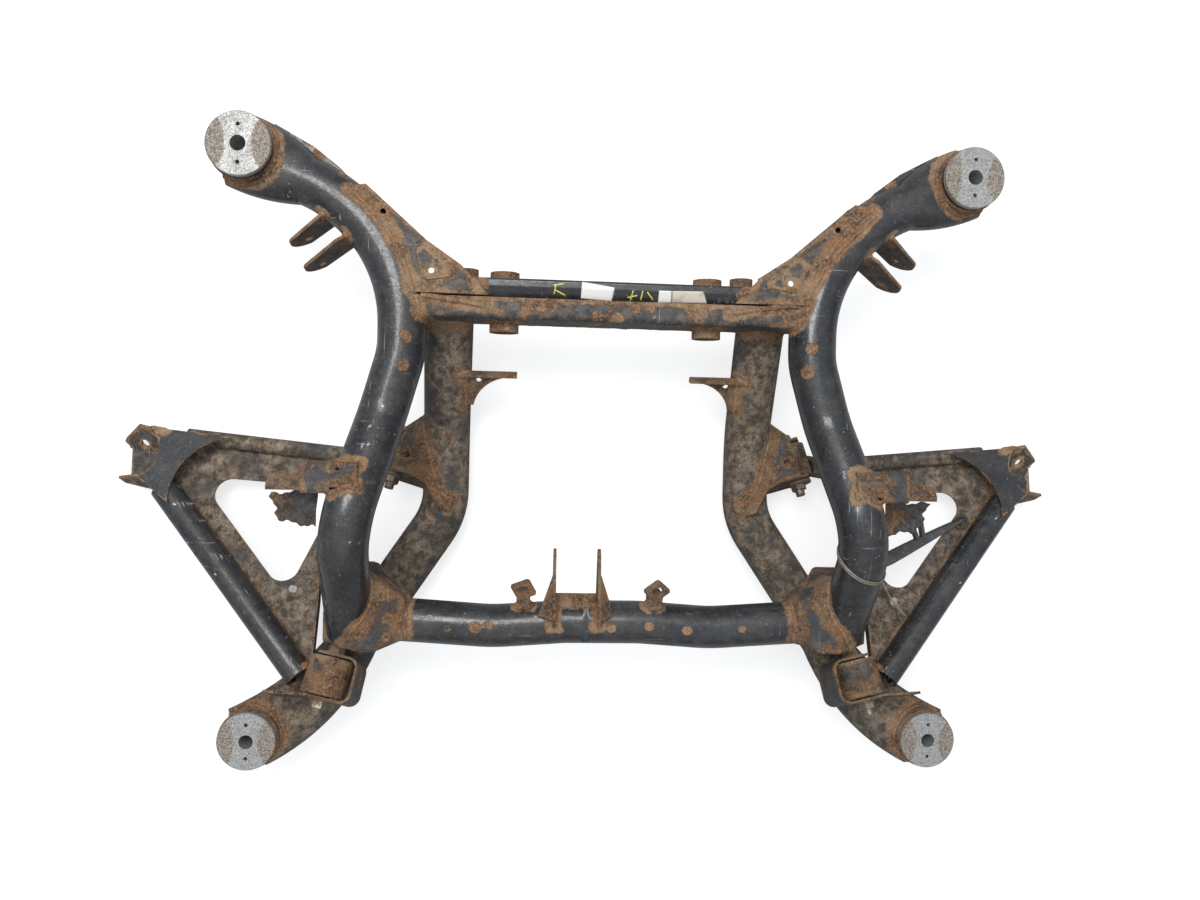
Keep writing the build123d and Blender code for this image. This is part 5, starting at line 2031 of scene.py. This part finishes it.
@dataclass
class TieWire(SubAssembly):
    """Soft wire that is tied round the right upper rail.

    Attributes:
        radius: Radius of the wire, in metres.
        centre: A place inside the rail that the loops go round.
        across: Direction of the wire over the rail's top.
        along: Direction of the rail.
        knot: Where the ends are twisted together.
        tail: Where the longer end stops.
        loop_gap: Distance between both loops, in metres.
        search: Distance from which the rail's skin is looked for, in metres.
        twisted: Length of the twisted stretch, in metres.
        turns: Turns of the ends round each other.
        sag: How far the longer end bends aside, in metres.
        unevenness: Number that sets the wire's unevenness.
    """

    label: str = "tie_wire"
    radius: float = 0.0012
    centre: Point = (0.3445, -0.122, 0.262)
    across: Point = (0.93, -0.37, -0.05)
    along: Point = (0.06, -0.78, -0.62)
    knot: Point = (0.3735, -0.146, 0.262)
    tail: Point = (0.416, -0.196, 0.24)
    loop_gap: float = 0.0035
    search: float = 0.08
    twisted: float = 0.014
    turns: int = 3
    sag: float = 0.004
    unevenness: int = 3

    def loop(self, shift: float, count: int = 96) -> np.ndarray:
        """Places of one loop round the rail, shifted along it.

        Args:
            shift: Distance along the rail, in metres.
            count: Number of places.

        Returns:
            One row for each place.
        """
        rail = self.part.boxes["upper_rail_right"]
        across = Vector(self.across).normalized()
        up = across.cross(Vector(self.along)).normalized()
        middle = Vector(self.centre) + Vector(self.along).normalized() * shift
        places = []
        for k in range(count):
            turn = 2 * math.pi * k / count
            away = across * math.cos(turn) + up * math.sin(turn)
            hit, _, _, _ = rail.ray_cast(middle + away * self.search, -away)
            places.append(hit + away * (self.radius * 0.9))
        return np.array(places)

    def twist(self, count: int = 40) -> list[np.ndarray]:
        """Places of both ends, twisted at the knot.

        Args:
            count: Number of places along each end.

        Returns:
            The places of each end.
        """
        knot, tail = Vector(self.knot), Vector(self.tail)
        line = (tail - knot).normalized()
        side = line.cross(Vector((0, 0, 1))).normalized()
        up = side.cross(line)
        ends = []
        for phase, length, sag in ((0.0, self.twisted, 0.0), (math.pi, (tail - knot).length, self.sag)):
            places = []
            for k in range(count):
                share = k / (count - 1)
                turn = phase + 2 * math.pi * self.turns * min(1.0, share * length / self.twisted)
                width = self.radius * (1.05 if share * length < self.twisted else 1.0)
                bend = sag * math.sin(math.pi * share)
                offset = side * (math.cos(turn) * width + bend) + up * math.sin(turn) * width
                places.append(knot + line * (share * length) + offset)
            ends.append(np.array(places))
        return ends

    def extras(self) -> None:
        """Two loops, the twist and its ends, as one piece."""
        runs = [(self.loop(0.0), True), (self.loop(self.loop_gap), True)]
        runs += [(run, False) for run in self.twist()]
        seams = []
        for places, closed in runs:
            lean = places - np.array(self.centre)
            lean /= np.linalg.norm(lean, axis=1, keepdims=True)
            seams.append((Seam(places, lean, closed), self.unevenness))
        wire = bead_object("tie_wire", Bead(radius=self.radius, depth=0.0, step=self.radius), seams)
        WIRE.put_on(wire)
        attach(wire, self.body)


# Ground, light and view


@dataclass
class Studio:
    """Pale floor, soft light and the camera of the photograph.

    Attributes:
        image_width: Width of the picture, in pixels.
        focal_pixels: The lens's focal length, in pixels.
        sensor_width: Width of the sensor, in millimetres.
        camera_place: The camera's place, in metres.
        camera_turn: Its turns about X, Y and Z from looking straight down, in radians.
        floor_size: Side of the floor, in metres.
        floor_depth: How far the floor lies below the part, in metres.
        floor_lift: Light added to the floor where the camera sees it.
        floor_albedo: Share of the light that the floor throws back.
        horizon: Strength of the sky at the horizon.
        zenith: Strength of the sky overhead.
        camera_sky: Strength of the sky where the camera sees it.
        lamp_power: Power of the soft lamp, in watts.
        lamp_size: Length and width of the lamp, in metres.
        lamp_place: The lamp's place, in metres.
    """

    image_width: float = 1200.0
    focal_pixels: float = 900.0
    sensor_width: float = 36.0
    camera_place: Point = (-0.1052, 0.0538, 1.4427)
    camera_turn: Point = (0.0241, 0.0766, -0.0224)
    floor_size: float = 30.0
    floor_depth: float = 0.0004
    floor_lift: float = 0.7
    floor_albedo: float = 0.42
    horizon: float = 0.3
    zenith: float = 0.95
    camera_sky: float = 1.05
    lamp_power: float = 50.0
    lamp_size: Flat = (1.6, 0.9)
    lamp_place: Point = (-0.5, 1.0, 2.6)

    def build(self) -> None:
        """Builds all of it."""
        self.floor()
        self.lights()
        self.camera()
        bpy.context.scene.view_settings.view_transform = "Standard"

    def floor(self) -> None:
        """A plain pale floor that stays pale in reflections and round the shadow."""
        half = self.floor_size / 2
        corners = [(x, y, -self.floor_depth) for x, y in ((-half, -half), (half, -half), (half, half),
                                                          (-half, half))]
        floor = mesh_object("studio_floor", corners, [(0, 1, 2, 3)])
        material = bpy.data.materials.new("studio_floor")
        material.use_nodes = True
        shader = material.node_tree.nodes["Principled BSDF"]
        shader.inputs["Base Color"].default_value = (*[self.floor_albedo] * 3, 1)
        shader.inputs["Roughness"].default_value = 0.9
        shader.inputs["Emission Color"].default_value = (1, 1, 1, 1)
        tree = Tree(material.node_tree)
        seen = tree.node("LightPath").outputs["Is Camera Ray"]
        tree.feed(shader.inputs["Emission Strength"], tree.math("MULTIPLY", seen, self.floor_lift))
        floor.data.materials.append(material)

    def lights(self) -> None:
        """An even pale sky and one large soft lamp."""
        world = bpy.data.worlds.new("studio_sky")
        bpy.context.scene.world = world
        world.use_nodes = True
        background = world.node_tree.nodes["Background"]
        background.inputs["Color"].default_value = (0.9, 0.95, 1.0, 1)
        tree = Tree(world.node_tree)
        way = tree.node("TexCoord").outputs["Generated"]
        height = tree.node("SeparateXYZ", {"Vector": way}).outputs["Z"]
        strength = tree.ramp(height, 0.1, 0.95, self.horizon, self.zenith)
        seen = tree.node("LightPath").outputs["Is Camera Ray"]
        tree.feed(background.inputs["Strength"], tree.blend(seen, strength, self.camera_sky))
        lamp = bpy.data.lights.new("softbox", "AREA")
        lamp.shape = "RECTANGLE"
        lamp.size, lamp.size_y = self.lamp_size
        lamp.energy = self.lamp_power
        lamp.color = (1.0, 0.985, 0.96)
        holder = bpy.data.objects.new("softbox", lamp)
        holder.location = self.lamp_place
        holder.rotation_euler = (-Vector(self.lamp_place)).to_track_quat("-Z", "Y").to_euler()
        bpy.context.scene.collection.objects.link(holder)

    def camera(self) -> None:
        """The camera at the photograph's place."""
        data = bpy.data.cameras.new("photo_camera")
        data.sensor_width = self.sensor_width
        data.lens = self.focal_pixels / self.image_width * self.sensor_width
        data.clip_start = 0.05
        camera = bpy.data.objects.new("photo_camera", data)
        turn_x, turn_y, turn_z = self.camera_turn
        turn = (Matrix.Rotation(-turn_x, 4, "X") @ Matrix.Rotation(-turn_y, 4, "Y")
                @ Matrix.Rotation(-turn_z, 4, "Z"))
        camera.matrix_world = Matrix.Translation(self.camera_place) @ turn
        bpy.context.scene.collection.objects.link(camera)
        bpy.context.scene.camera = camera


def main() -> None:
    """Builds the subframe, its ground and its light."""
    logging.basicConfig(level=logging.INFO, format="%(name)s: %(message)s")
    part = Part()
    assemblies: list[SubAssembly] = [
        UpperRails(part),
        LowerRails(part),
        FrontCrossmember(part),
        RearCross(part),
        PivotBrackets(part),
        BodyBushes(part),
        TieWire(part),
        ArmStay(part),
        TornFlaps(part),
        *(ControlArm(part, side=side) for side in SIDES),
    ]
    places: dict[str, list[np.ndarray]] = {}
    for assembly in assemblies:
        assembly.find_welds()
        places.setdefault(assembly.body, []).extend(seam.points for seam in assembly.seams)
    welds = {body: Nearness(np.vstack(runs)) for body, runs in places.items()}
    for assembly in assemblies:
        assembly.build(welds[assembly.body])
        LOG.info("%s: built", assembly.label)
    Studio().build()


if __name__ == "__main__":
    main()
